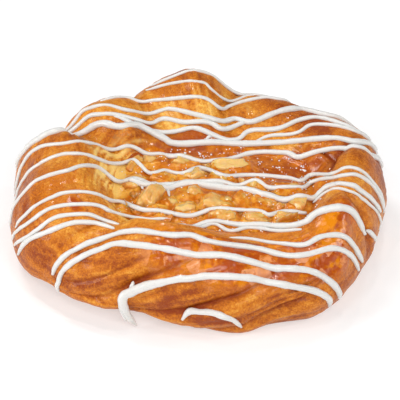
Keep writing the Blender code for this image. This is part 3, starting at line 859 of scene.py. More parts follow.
@dataclass(frozen=True)
class Dough:
    """The ring of twisted dough, with its folds, streaks and wrinkles."""

    form: RingForm
    segments: int = 540
    rings_down: tuple[int, ...] = (12, 56, 72, 24, 8)
    seed: int = 11
    folds: tuple[Fold, ...] = (
        Fold(((165, 1.45), (148, 3.0)), 2.6, 3.2),
        Fold(((122, 1.4), (116, 3.0)), 2.4, 3.2, shade=0.3),
        Fold(((78, 1.45), (68, 3.0)), 2.6, 3.2, shade=0.6),
        Fold(((16, 1.0), (12, 3.0)), 3.0, 2.8),
        Fold(((343, 1.8), (341, 3.2)), 1.8, 2.4),
        Fold(((232, 1.2), (212, 3.0)), 2.2, 2.8, Lip.LEFT, 0.5, 2.6, 0.6),
        Fold(((222, 3.2), (275, 2.25)), 2.0, 2.0, Lip.RIGHT, 1.0, 2.8),
        Fold(((246, 3.3), (298, 2.5)), 2.4, 2.4, Lip.RIGHT, 0.8, 3.0),
        Fold(((272, 3.7), (316, 2.7)), 2.2, 2.2, Lip.RIGHT, 0.8, 2.8),
        Fold(((24, 3.5), (62, 2.5)), 1.5, 1.9, Lip.RIGHT, 0.5, 2.6),
        Fold(((70, 3.6), (112, 2.55)), 1.7, 2.0, Lip.RIGHT, 0.6, 2.8),
        Fold(((128, 3.5), (164, 2.6)), 1.4, 1.8, Lip.RIGHT, 0.5, 2.6),
    )
    fine_folds: tuple[Fold, ...] = (
        Fold(((24, 1.4), (12, 1.5), (5, 1.34)), 2.0, 1.1, Lip.RIGHT, 0.5, 1.8),
        Fold(((150, 2.2), (165, 1.95), (166, 1.6)), 0.8, 0.9),
        Fold(((70, 2.0), (76, 1.84), (81, 1.6), (72, 1.45)), 0.9, 0.9),
        Fold(((120, 1.96), (123, 1.66), (126, 1.4)), 0.8, 0.9),
        Fold(((342, 2.0), (340, 2.27), (342, 2.51), (342, 2.77), (344, 3.11)), 1.3, 0.9, Lip.LEFT, 0.5, 1.8),
        Fold(((346, 2.3), (343, 2.64), (346, 2.95)), 0.8, 0.8),
        Fold(((334, 2.1), (332, 2.5), (335, 2.9)), 0.5, 0.9),
        Fold(((219, 2.95), (236, 2.72), (252, 2.4)), 1.1, 0.8, Lip.RIGHT, 0.5, 1.6),
        Fold(((216, 2.6), (228, 2.45), (240, 2.2)), 0.7, 0.9, Lip.RIGHT, 0.3, 1.8),
        Fold(((230, 3.15), (246, 2.95), (262, 2.7), (278, 2.45)), 0.6, 0.9, Lip.LEFT, 0.25, 1.8),
        Fold(((283, 3.08), (293, 2.97), (303, 2.86)), 0.9, 0.7, Lip.LEFT, 0.25, 1.4),
        Fold(((296, 2.86), (304, 2.78), (312, 2.72)), 1.0, 0.8),
        Fold(((200, 2.0), (196, 2.5), (190, 3.0)), 0.5, 1.2),
        Fold(((182, 2.1), (176, 2.6)), 0.4, 1.2),
        Fold(((100, 2.2), (98, 2.7), (92, 3.1)), 0.7, 1.2),
        Fold(((58, 2.1), (50, 2.6), (42, 3.0)), 0.7, 1.3),
        Fold(((36, 2.3), (30, 2.8), (24, 3.3)), 0.6, 1.2),
        Fold(((135, 2.3), (130, 2.8), (122, 3.3)), 0.6, 1.2),
    )
    pale_patches: tuple[Patch, ...] = rows_of(
        Patch, (169, 38, 1.14, 0.4, 1.25), (154, 12, 1.3, 0.26, 0.7), (139, 4, 1.22, 0.12, 0.5),
        (104, 24, 1.48, 0.26, 0.68), (205, 20, 1.1, 0.3, 0.55), (60, 18, 1.6, 0.2, 0.35), (250, 26, 1.9, 0.25, 0.3),
    )
    smear_patches: tuple[Patch, ...] = rows_of(
        Patch, (12, 30, 1.15, 0.42, 1.0), (95, 52, 1.08, 0.24, 1.0), (275, 70, 1.08, 0.22, 0.9),
        (180, 60, 1.0, 0.07, 0.3), (127, 10, 1.3, 0.3, 0.6),
    )
    wet_patches: tuple[Patch, ...] = rows_of(
        Patch, (292, 36, 2.25, 0.5, 1.0), (258, 16, 2.3, 0.4, 0.8), (330, 16, 2.2, 0.45, 0.75),
        (316, 16, 2.5, 0.4, 0.9), (270, 60, 1.3, 0.5, 0.6), (200, 22, 2.15, 0.3, 0.45), (95, 14, 1.85, 0.2, 0.4),
        (211, 5, 2.11, 0.1, 1.0),
    )
    pulled_patches: tuple[Patch, ...] = rows_of(Patch, (92, 46, 1.7, 0.8, 1.0))
    raised_patches: tuple[Patch, ...] = rows_of(
        Patch, (140, 4, 1.36, 0.11, 2.0), (54, 9, 2.3, 0.5, 0.9), (298, 9, 3.45, 0.5, -1.5),
        (213, 7, 3.35, 0.5, -0.9),
    )
    fibre_patches: tuple[Patch, ...] = rows_of(
        Patch, (262, 66, 2.85, 0.7, 1.0), (85, 85, 3.0, 0.6, 0.7), (180, 40, 2.1, 0.5, 0.5), (97, 26, 2.0, 0.5, 0.7),
    )
    # Patches that darken the bake, or lighten it with a negative amount: partly the dough's own tone, partly painted
    # shade and light, such as the shadow under a string on the well's back wall.
    tone_and_shade_patches: tuple[Patch, ...] = rows_of(
        Patch, (95, 16, 2.05, 0.3, 0.35), (97, 20, 1.85, 0.3, 0.12), (185, 22, 2.6, 0.5, 0.12),
        (172, 24, 1.5, 0.35, -0.12), (140, 22, 1.75, 0.35, -0.12), (96, 30, 1.36, 0.2, -0.15),
        (198, 16, 2.1, 0.3, 0.12), (229, 10, 2.75, 0.25, 0.04), (242, 12, 2.8, 0.3, 0.15), (262, 14, 2.8, 0.2, 0.05),
        (272, 12, 3.15, 0.2, 0.4), (15, 20, 2.5, 0.6, 0.2), (334, 12, 2.0, 0.4, 0.2), (95, 46, 1.04, 0.16, 0.7),
        (32, 17, 1.82, 0.34, 0.42), (54, 12, 2.1, 0.3, 0.35), (140, 14, 1.45, 0.22, 0.3),
    )
    # Where the glaze carries painted reflection patches.
    painted_reflection_patches: tuple[Patch, ...] = rows_of(Patch, (284, 46, 2.52, 0.36, 1.2))
    # Where the layers drift down the section, how far, and the mm of relief along a turn and a place.
    front: float = 268.0
    layer_drift: float = 0.015
    drift_turn: float = 70.0
    layer_scale: Pair = (9.0, 22.0)
    pull_scale: Pair = (42.0, 3.0)
    streak_layers: tuple[Layer, ...] = (Layer(0.65, 2.6), Layer(0.5, 1.1, 50.0))
    lump_layers: tuple[Layer, ...] = (Layer(0.55, 15.0), Layer(0.26, 6.0), Layer(0.12, 2.6))
    # Depths in mm, and what adds to the streaks' depth or takes from it.
    streak_depth: float = 0.24
    streak_plain: float = 0.6
    streak_pale: float = 0.4
    streak_fibre: float = 1.8
    wrinkle_depth: float = 0.16
    wrinkle: Layer = Layer(1.0, 2.2, 90.0)
    wet_smooths: float = 0.7
    fold_hides: float = 0.7
    # The places between which the dough goes under the jelly, turns to its base, and bakes darker or paler, and the
    # painted shade that the folds give.
    hidden_places: Pair = (1.02, 0.9)
    base_places: Pair = (3.6, 4.0)
    outer_places: Pair = (2.1, 2.9)
    inner_places: Pair = (1.6, 1.05)
    bake_plain: float = 0.5
    bake_outer: float = 0.22
    bake_inner: float = 0.12
    bake_lumps: float = 0.12
    # Painted light: how much paler the rolls beside the folds are.
    roll_painted_light: float = 0.2
    darkest_fold: float = 2.2
    roll_lights: float = 0.6
    painted_shade_most: float = 1.3

    def places(self) -> np.ndarray:
        """The places of the rings of points, from the middle of the well to the middle of the base."""
        rows = [np.linspace(stretch, stretch + 1, count + 1)[1:] for stretch, count in enumerate(self.rings_down)]
        return np.concatenate(([0.0], *rows))

    def streak(self, bearing: np.ndarray, place: np.ndarray, relief: Relief) -> np.ndarray:
        """Streaks of the dough's layers, which run round the ring but down its section where they are pulled.

        Args:
            bearing: The points' bearings.
            place: Their places.
            relief: The relief that the streaks are drawn from.

        Returns:
            The streaks, about -1 to 1.
        """
        off = (bearing - self.front + 180.0) % 360.0 - 180.0
        drift = self.layer_drift * off * np.exp(-((off / self.drift_turn) ** 2))
        turn = np.radians(bearing)
        ways = (np.column_stack((np.cos(turn) * across, np.sin(turn) * across, down * height))
                for (across, down), height in ((self.layer_scale, place + drift), (self.pull_scale, place)))
        layers, pulls = (relief.layered(way, self.streak_layers) for way in ways)
        pulled = patched(self.pulled_patches, bearing, place)
        return layers * (1 - pulled) + pulls * pulled

    def grid(self) -> tuple[np.ndarray, ...]:
        """The points of the plain form, round the ring and from the middle of the well to that of the base.

        Returns:
            The points, their normals, their bearings and their places.
        """
        bearings = np.arange(self.segments) * 360.0 / self.segments
        places = self.places()
        rows = self.form.surface(bearings, places)
        outward = np.gradient(rows, axis=0)
        around = np.roll(rows, -1, axis=1) - np.roll(rows, 1, axis=1)
        normals = np.cross(outward, around)
        normals[0], normals[-1] = (0, 0, 1), (0, 0, -1)
        normals /= np.maximum(np.linalg.norm(normals, axis=2), TINY)[:, :, None]
        bearing, place = np.broadcast_arrays(bearings[None, :], places[:, None])
        return as_ball(rows), as_ball(normals), as_ball(bearing), as_ball(place)

    def creased(self, folds: tuple[Fold, ...], darkest: float, points: np.ndarray,
                normals: np.ndarray) -> tuple[np.ndarray, ...]:
        """What several folds do to points of the dough.

        Args:
            folds: The folds.
            darkest: The depth in mm at which a fold's shade is full.
            points: The points of the plain form.
            normals: Their normals.

        Returns:
            How far each point is sunk, how far it is raised and how much it is shaded.
        """
        down, roll, shade = np.zeros((3, len(points)))
        for fold in folds:
            sunk, raised = fold.sunk(points, normals, self.form)
            down, roll = np.maximum(down, sunk), np.maximum(roll, raised)
            shade = np.maximum(shade, sunk * fold.shade / darkest)
        return down, roll, shade

    def mesh(self) -> Mesh:
        """Shapes the dough.

        Returns:
            The mesh, which carries what the crust's finish reads at each point.
        """
        relief = Relief(self.seed)
        points, normals, bearing, place = self.grid()
        hidden, base = eased(place, *self.hidden_places), eased(place, *self.base_places)
        soft = (1 - base) * (1 - hidden)
        down, roll, shade = self.creased(self.folds, self.darkest_fold, points, normals)
        fine, fine_roll, fine_shade = self.creased(self.fine_folds, 1.0, points, normals)
        roll, shade = np.maximum(roll, fine_roll), np.maximum(shade, fine_shade)
        pale, wet, fibre, raised, dark, smear, flake = (patched(patches, bearing, place) for patches in (
            self.pale_patches, self.wet_patches, self.fibre_patches, self.raised_patches, self.tone_and_shade_patches,
            self.smear_patches, self.painted_reflection_patches))

        lumps = relief.layered(points, self.lump_layers)
        streak = self.streak(bearing, place, relief)
        strength = self.streak_plain + self.streak_pale * pale + self.streak_fibre * fibre
        streaks = self.streak_depth * streak * strength * (1 - self.wet_smooths * wet)
        wrinkles = self.wrinkle_depth * wet * relief.layered(points, (self.wrinkle,))
        moved = (lumps + streaks + wrinkles - fine + raised) * soft
        moved = moved + roll * (1 - base) - down * (1 - self.fold_hides * hidden)
        points = points + normals * moved[:, None]
        points[:, 2] = np.maximum(points[:, 2], 0.0)

        outer, inner = eased(place, *self.outer_places), eased(place, *self.inner_places)
        bake = self.bake_plain + self.bake_outer * outer - self.bake_inner * inner
        # The patches add the dough's own tone together with painted shade and light, and the rolls get painted light.
        bake = bake + dark + self.bake_lumps * lumps - self.roll_painted_light * roll
        # Painted shade in the creases, lighter where the dough rolls up beside them.
        hollow = np.clip(shade - roll * self.roll_lights, 0.0, self.painted_shade_most) * soft
        painted = {"bake": bake, "pale": pale, "wet": wet * (1 - base), "hollow": hollow, "under": base,
                   "smear": smear, "flake": flake, "fibre": fibre, "streak": streak}
        faces = ball_faces(self.segments, len(self.places()) - 2)
        return mesh_of("crust", points, faces, painted, self.form.middle)


@dataclass(frozen=True)
class Blob:
    """A soft-edged oval patch in plan: its middle, its reach along X and Y, its strength and how hard its edge is."""

    x: float
    y: float
    along: float
    across: float
    amount: float = 1.0
    hardness: int = 1

    def share(self, points: np.ndarray) -> np.ndarray:
        """How strong the patch is at points."""
        off = ((points[:, 0] - self.x) / self.along) ** 2 + ((points[:, 1] - self.y) / self.across) ** 2
        return self.amount * np.exp(-(off**self.hardness))


@dataclass(frozen=True)
class Die:
    """A die of apple: where it lies, its length and turn, its width and how much of its length it is sunk by.

    The width is a share of the length. The warmth is how yellow it is: amber at 1, and under 0 paler still.
    """

    x: float
    y: float
    length: float
    turn: float
    width: float = 0.8
    sunk: float = 0.08
    warmth: float = 0.4


@dataclass(frozen=True)
class Apple:
    """The cooked apple in the jelly: dice where the photograph has them, and scraps between them."""

    form: RingForm
    seed: int = 23
    # The dice: how finely they are cut, how square, chopped and dented, and how they lie in the jelly.
    cuts: int = 9
    powers: Pair = (2.7, 4.2)
    chops: int = 4
    chop_places: Pair = (0.32, 0.5)
    chop_softness: float = 0.006
    relief_scale: float = 10.0
    swelling: Layer = Layer(0.2, 4.0, 30.0)
    dents: tuple[Layer, ...] = (Layer(0.07, 2.4), Layer(0.03, 1.2))
    shifts: tuple[float, ...] = (10.0, 40.0, 70.0)
    stretches: Pair = (0.85, 1.15)
    height: float = 0.76
    longest: float = 9.0
    flatness: float = 0.25
    lift: float = 0.15
    growth: float = 1.1
    tilt_deg: float = 16.0
    limit: float = 0.93
    clearance: float = 0.6
    soak_heights: Pair = (3.1, 0.8)
    # The scraps: how far out they lie, how close to the dice, and the corner of bubbles that they leave bare.
    scrap_count: int = 64
    scrap_outs: Pair = (0.02, 0.78)
    scrap_half: float = 0.45
    scrap_gap: float = 0.6
    scrap_corner: Pair = (18.0, -4.0)
    scrap_lengths: Pair = (1.8, 4.6)
    scrap_turn: float = 6.28
    scrap_width: float = 0.8
    scrap_sunk: float = 0.18
    dice: tuple[Die, ...] = rows_of(
        Die, (-14.0, 7.6, 7.5, 10, 0.75, 0.11, 0.4), (-4.5, 7.2, 9.0, -8, 0.6, 0.07, 0.3),
        (9.9, 5.8, 12.5, 4, 0.4, 0.0, -0.2), (-15.2, -12.0, 9.5, 68, 0.7, 0.00, 0.2),
        (-3.2, -9.6, 7.5, 20, 0.8, 0.09, 0.3), (-13.0, -19.0, 6.0, -15, 0.8, 0.13, 0.8),
        (17.0, -5.3, 6.6, 80, 0.8, 0.17, 0.2), (19.5, -12.6, 6.5, 15, 0.9, 0.09, 0.6),
        (13.0, -11.0, 5.5, 60, 0.8, 0.09, 0.5), (30.4, -13.8, 7.5, 50, 0.8, 0.01, 0.15),
        (7.0, -21.2, 8.5, 5, 0.7, 0.07, 0.45), (16.5, -21.6, 7.5, -12, 0.7, 0.07, 0.3),
        (26.5, -21.6, 8.5, 8, 0.7, 0.05, 0.2), (5.0, -14.0, 9.0, -5, 0.7, 0.13, 0.4),
        (27.0, -5.2, 8.0, 12, 0.6, 0.07, 0.35), (6.0, -2.2, 7.5, -20, 0.7, 0.09, 0.5),
        (-2.5, -1.2, 8.0, 25, 0.7, 0.11, 0.3), (-11.5, -1.4, 6.5, -30, 0.8, 0.13, 0.6),
        (-20.0, -4.5, 7.0, 60, 0.8, 0.11, 0.4), (-20.0, 5.5, 6.5, 70, 0.8, 0.13, 0.5),
        (-4.5, -17.5, 5.5, 12, 0.8, 0.05, 0.15), (-8.8, -14.6, 4.5, 40, 0.8, 0.01, 0.05),
        (-24.5, -16.8, 4.5, 85, 0.5, -0.15, 0.7),
    )

    def shaped(self, die: Die, cube: np.ndarray, rng: np.random.Generator) -> np.ndarray:
        """Shapes one die from a finely cut cube: rounded, chopped by a few planes, uneven, turned and in place.

        Args:
            die: The die.
            cube: The cube's points, from -0.5 to 0.5.
            rng: The source of the die's unevenness.

        Returns:
            The die's points.
        """
        power = rng.uniform(*self.powers)
        size = (np.abs(cube * 2) ** power).sum(axis=1) ** (1 / power)
        points = cube / np.maximum(size, TINY)[:, None] * np.abs(cube * 2).max(axis=1)[:, None]
        for _ in range(self.chops):
            way = rng.normal(size=3)
            way /= np.linalg.norm(way)
            over = points @ way - rng.uniform(*self.chop_places)
            points = points - (over + np.sqrt(over**2 + self.chop_softness))[:, None] / 2 * way
        bend = Relief(int(rng.integers(1000)))
        points = points * (1 + bend.layered(points * self.relief_scale, (self.swelling,)))[:, None]
        for dent in self.dents:
            moves = [bend.at(points * self.relief_scale + shift, dent.size) for shift in self.shifts]
            points = points + dent.strength * np.column_stack(moves)
        high = min(die.length, self.longest) * self.height * min(1.0, die.width + self.flatness)
        points = points * np.array((die.length, die.length * die.width, high)) * self.growth
        points = points * rng.uniform(*self.stretches, 3)
        tilt = np.radians(rng.uniform(-self.tilt_deg, self.tilt_deg, 2))
        turned = Euler((*tilt, math.radians(die.turn))).to_matrix()
        level = self.form.filling_level(die.x) + self.form.filling_dome / 2 + self.lift - die.length * die.sunk
        points = points @ np.array(turned).T + np.array((die.x, die.y, level))
        share = self.form.well_share(points[:, 0], points[:, 1])
        inward = np.minimum(1.0, self.limit / np.maximum(share, TINY))
        centre = np.array(self.form.well_centre)
        points[:, :2] = centre + (points[:, :2] - centre) * inward[:, None]
        floor = self.form.filling_level(points[:, 0]) - self.form.well_drop(share * inward)
        points[:, 2] = np.maximum(points[:, 2], floor + self.clearance)
        return points

    def scraps(self, rng: np.random.Generator) -> tuple[Die, ...]:
        """Small scraps of apple between the dice.

        Args:
            rng: The source of their places.

        Returns:
            The scraps.
        """
        found = []
        while len(found) < self.scrap_count:
            turn, out = rng.uniform(0, 2 * math.pi), math.sqrt(rng.uniform(*self.scrap_outs))
            reach = out * float(self.form.well_radius(np.array([math.degrees(turn)]))[0])
            x = self.form.well_centre[0] + reach * math.cos(turn)
            y = self.form.well_centre[1] + reach * math.sin(turn)
            bare = all(math.hypot(x - die.x, y - die.y) > die.length * self.scrap_half + self.scrap_gap
                       for die in self.dice)
            if bare and not (x > self.scrap_corner[0] and y > self.scrap_corner[1]):
                length, angle = rng.uniform(*self.scrap_lengths), math.degrees(rng.uniform(0, self.scrap_turn))
                found.append(Die(x, y, length, angle, self.scrap_width, self.scrap_sunk, rng.uniform(0.0, 1.0)))
        return tuple(found)

    def mesh(self) -> Mesh:
        """Shapes all the dice.

        Returns:
            The mesh, which carries how far each point is soaked in jelly and how warm its yellow is.
        """
        rng = np.random.default_rng(self.seed)
        bm = bmesh.new()
        bmesh.ops.create_cube(bm, size=1.0)
        bmesh.ops.subdivide_edges(bm, edges=bm.edges, cuts=self.cuts, use_grid_fill=True)
        cube = np.array([point.co for point in bm.verts])
        sides = [tuple(point.index for point in face.verts) for face in bm.faces]
        bm.free()
        points, faces, warmth = [], [], []
        for number, die in enumerate(self.dice + self.scraps(rng)):
            faces += [tuple(index + number * len(cube) for index in side) for side in sides]
            points.append(self.shaped(die, cube, rng))
            warmth.append(np.full(len(cube), die.warmth))
        points = np.concatenate(points)
        level = self.form.filling_level(points[:, 0])
        soak = eased(points[:, 2] - level, *self.soak_heights)
        painted = {"soak": soak, "warmth": np.concatenate(warmth)}
        return mesh_of("apple_dice", points, faces, painted, self.form.middle)


@dataclass(frozen=True)
class Jelly:
    """The jelly in the well, which climbs a little up the dice in it and up the dough."""

    form: RingForm
    dough: Ground
    dice: tuple[Die, ...]
    seed: int = 23
    segments: int = 220
    rings: int = 84
    edge: float = 0.97
    edge_shares: Pair = (0.82, 1.0)
    wave_layers: tuple[Layer, ...] = (Layer(0.35, 5.0), Layer(0.2, 2.2), Layer(0.1, 1.1))
    # How high the jelly climbs the dice, how far from them, and the half of their size that it climbs at.
    climb: float = 1.8
    climb_reach: float = 1.8
    climb_power: float = 1.5
    climb_half: float = 0.46
    # The film up the dough: steps, thickness in mm, how it thins into the dough, and its reach in places.
    film_steps: int = 14
    film_thick: float = 0.42
    film_sinks: float = 1.8
    film_least: float = 0.04
    film_ragged: float = 0.04
    film_turns: float = 9.0
    film_patches: tuple[Patch, ...] = rows_of(Patch, (8, 34, 0.0, 1.0, 0.4), (95, 56, 0.0, 1.0, 0.13))
    # The jelly's underside: its rings, and how far in mm it stays over the well's floor.
    floor_every: int = 6
    floor_gap: float = 0.45
    floor_gap_growth: float = 8.0
    # Where there are bubbles, where the jelly is thin, where the dough is seen through it, and how much darker the
    # jelly is at the right and at the back, where it is painted shade under the rim.
    froth_right: Blob = Blob(27, 4, 9, 6, 1.4)
    froth_back: Blob = Blob(-2, 14, 16, 3.5, 0.9)
    froth_least: float = 0.42
    froth_above: float = 22.0
    froth_layers: tuple[Layer, ...] = (Layer(2.5, 3.5, 60.0), Layer(2.0, 1.2, 30.0))
    thin_left: Blob = Blob(-26, -3, 4.5, 13)
    seen_left: Blob = Blob(-25.6, 1, 2.9, 14, hardness=2)
    thin_climb: float = 0.22
    thin_share: float = 0.6
    darker_right_shaded_back: Pair = (0.4, 0.3)

    def climbed(self, flat: np.ndarray) -> np.ndarray:
        """How near to the dice points are.

        Args:
            flat: The points, one in each row.

        Returns:
            A share for each point, from 0 far from the dice to 1 at them.
        """
        climb = np.zeros(len(flat))
        for die in self.dice:
            angle = math.radians(die.turn)
            along = (flat[:, 0] - die.x) * math.cos(angle) + (flat[:, 1] - die.y) * math.sin(angle)
            across = (flat[:, 1] - die.y) * math.cos(angle) - (flat[:, 0] - die.x) * math.sin(angle)
            gap = np.hypot(np.maximum(np.abs(along) - die.length * self.climb_half, 0),
                           np.maximum(np.abs(across) - die.length * die.width * self.climb_half, 0))
            climb = np.maximum(climb, np.exp(-gap / self.climb_reach))
        return climb

    def film(self, bearings: np.ndarray) -> np.ndarray:
        """The jelly's edge, which climbs the dough as a thin film and ends under its skin.

        Args:
            bearings: The bearings round the well, in degrees.

        Returns:
            The points, in a row of bearings for each step up.
        """
        turn, level = np.radians(bearings), np.zeros(len(bearings))
        circle = np.column_stack((np.cos(turn), np.sin(turn), level)) * self.film_turns
        ragged = self.film_ragged * Relief(self.seed + 1).at(circle, 1.0)
        reach = self.film_least + patched(self.film_patches, bearings, level) + ragged
        rows = np.zeros((self.film_steps, len(bearings), 3))
        for step, share in enumerate(np.linspace(0.0, 1.0, self.film_steps)):
            thick = self.film_thick * (1 - self.film_sinks * share**2)
            for k, bearing in enumerate(bearings):
                guide = self.form.surface(np.array([bearing]), [1.0 + share * reach[k]])[0, 0]
                place, normal = self.dough.nearest(guide)
                rows[step, k] = place + normal * thick
        return rows

    def floor(self, bearings: np.ndarray, shares: np.ndarray) -> np.ndarray:
        """The jelly's underside, just over the floor of the well.

        Args:
            bearings: The bearings round the well, in degrees.
            shares: How far out its rings are, as shares of the way to the well's edge.

        Returns:
            The points, in a row of bearings for each share.
        """
        rows = self.form.surface(bearings, shares)
        rows[:, :, 2] += self.floor_gap * np.minimum(1, (1 - shares)[:, None] * self.floor_gap_growth)
        return rows

    def mesh(self) -> Mesh:
        """Shapes the jelly.

        Returns:
            The mesh, which carries how thin the jelly is, where the dough is seen through it and where it is bubbly.
        """
        form, relief = self.form, Relief(self.seed)
        bearings = np.arange(self.segments) * 360.0 / self.segments
        shares = np.linspace(0.0, self.edge, self.rings)
        turn, out = np.radians(bearings), shares[:, None] * form.well_radius(bearings)
        x, y = form.well_centre[0] + out * np.cos(turn), form.well_centre[1] + out * np.sin(turn)
        z = form.filling_level(x) + form.filling_dome * (1 - shares[:, None] ** 2)
        flat = np.column_stack((x.ravel(), y.ravel(), z.ravel()))
        climb = self.climbed(flat)
        flat[:, 2] += self.climb * climb**self.climb_power + relief.layered(flat, self.wave_layers)
        top = flat.reshape(self.rings, self.segments, 3)
        film, floor = self.film(bearings), self.floor(bearings, shares[-2:0:-self.floor_every])
        drawn = eased(shares, *self.edge_shares)[:, None]
        top[:, :, 2] = top[:, :, 2] * (1 - drawn) + film[0, :, 2] * drawn
        rows = np.concatenate((top, film, floor, np.repeat(floor[-1:, :1], self.segments, axis=1)))
        rows[0] = rows[0, :1]
        rows[-1] = (*form.well_centre, floor[-1, :, 2].mean())
        climbs = np.zeros(rows.shape[:2])
        climbs[:self.rings] = climb.reshape(self.rings, self.segments)
        points, faces = as_ball(rows), ball_faces(self.segments, len(rows) - 2)
        painted = self.painted(points, as_ball(climbs), relief)
        return mesh_of("jelly", points, faces, painted, form.middle)

    def painted(self, points: np.ndarray, climb: np.ndarray, relief: Relief) -> dict[str, np.ndarray]:
        """What the jelly's points carry.

        Args:
            points: The points.
            climb: How near the dice they are.
            relief: The relief that the froth drifts by.

        Returns:
            How thin the jelly is, lowered to darken it at the right and at the back with painted shade, how much of
            the dough is seen through it, and how bubbly it is, by name.
        """
        right, back = self.froth_right.share(points), self.froth_back.share(points)
        drifts = 0.5 + 0.5 * np.clip(relief.layered(points, self.froth_layers), -1, 1)
        froth = np.maximum(np.maximum(right, back), self.froth_least)
        deep_right, back_shade = self.darker_right_shaded_back
        thin = climb * self.thin_climb + self.thin_share * self.thin_left.share(points)
        # Darker at the right, and at the back with painted shade under the rim.
        thin = thin - deep_right * np.minimum(right, 1.0) - back_shade * back
        return {"thin": thin, "seen": self.seen_left.share(points),
                "bubbly": froth * drifts**2 * (points[:, 2] > self.froth_above)}


@dataclass(frozen=True)
class Pour:
    """A string of icing poured across.

    Its widths run along it and its way is in plan. Its left and right are its runs down the sides, in bearings and
    heights from the top down.
    """

    widths: tuple[float, ...]
    way: Way
    left: Way = ()
    right: Way = ()


@dataclass(frozen=True)
class SidePour:
    """A string of icing along the side of the ring.

    Its widths run along it. Its hang is the points in mm that it leads through clear of the dough, and its way is
    then in bearings and heights.
    """

    widths: tuple[float, ...]
    way: Way
    hang: tuple[Place, ...] = ()


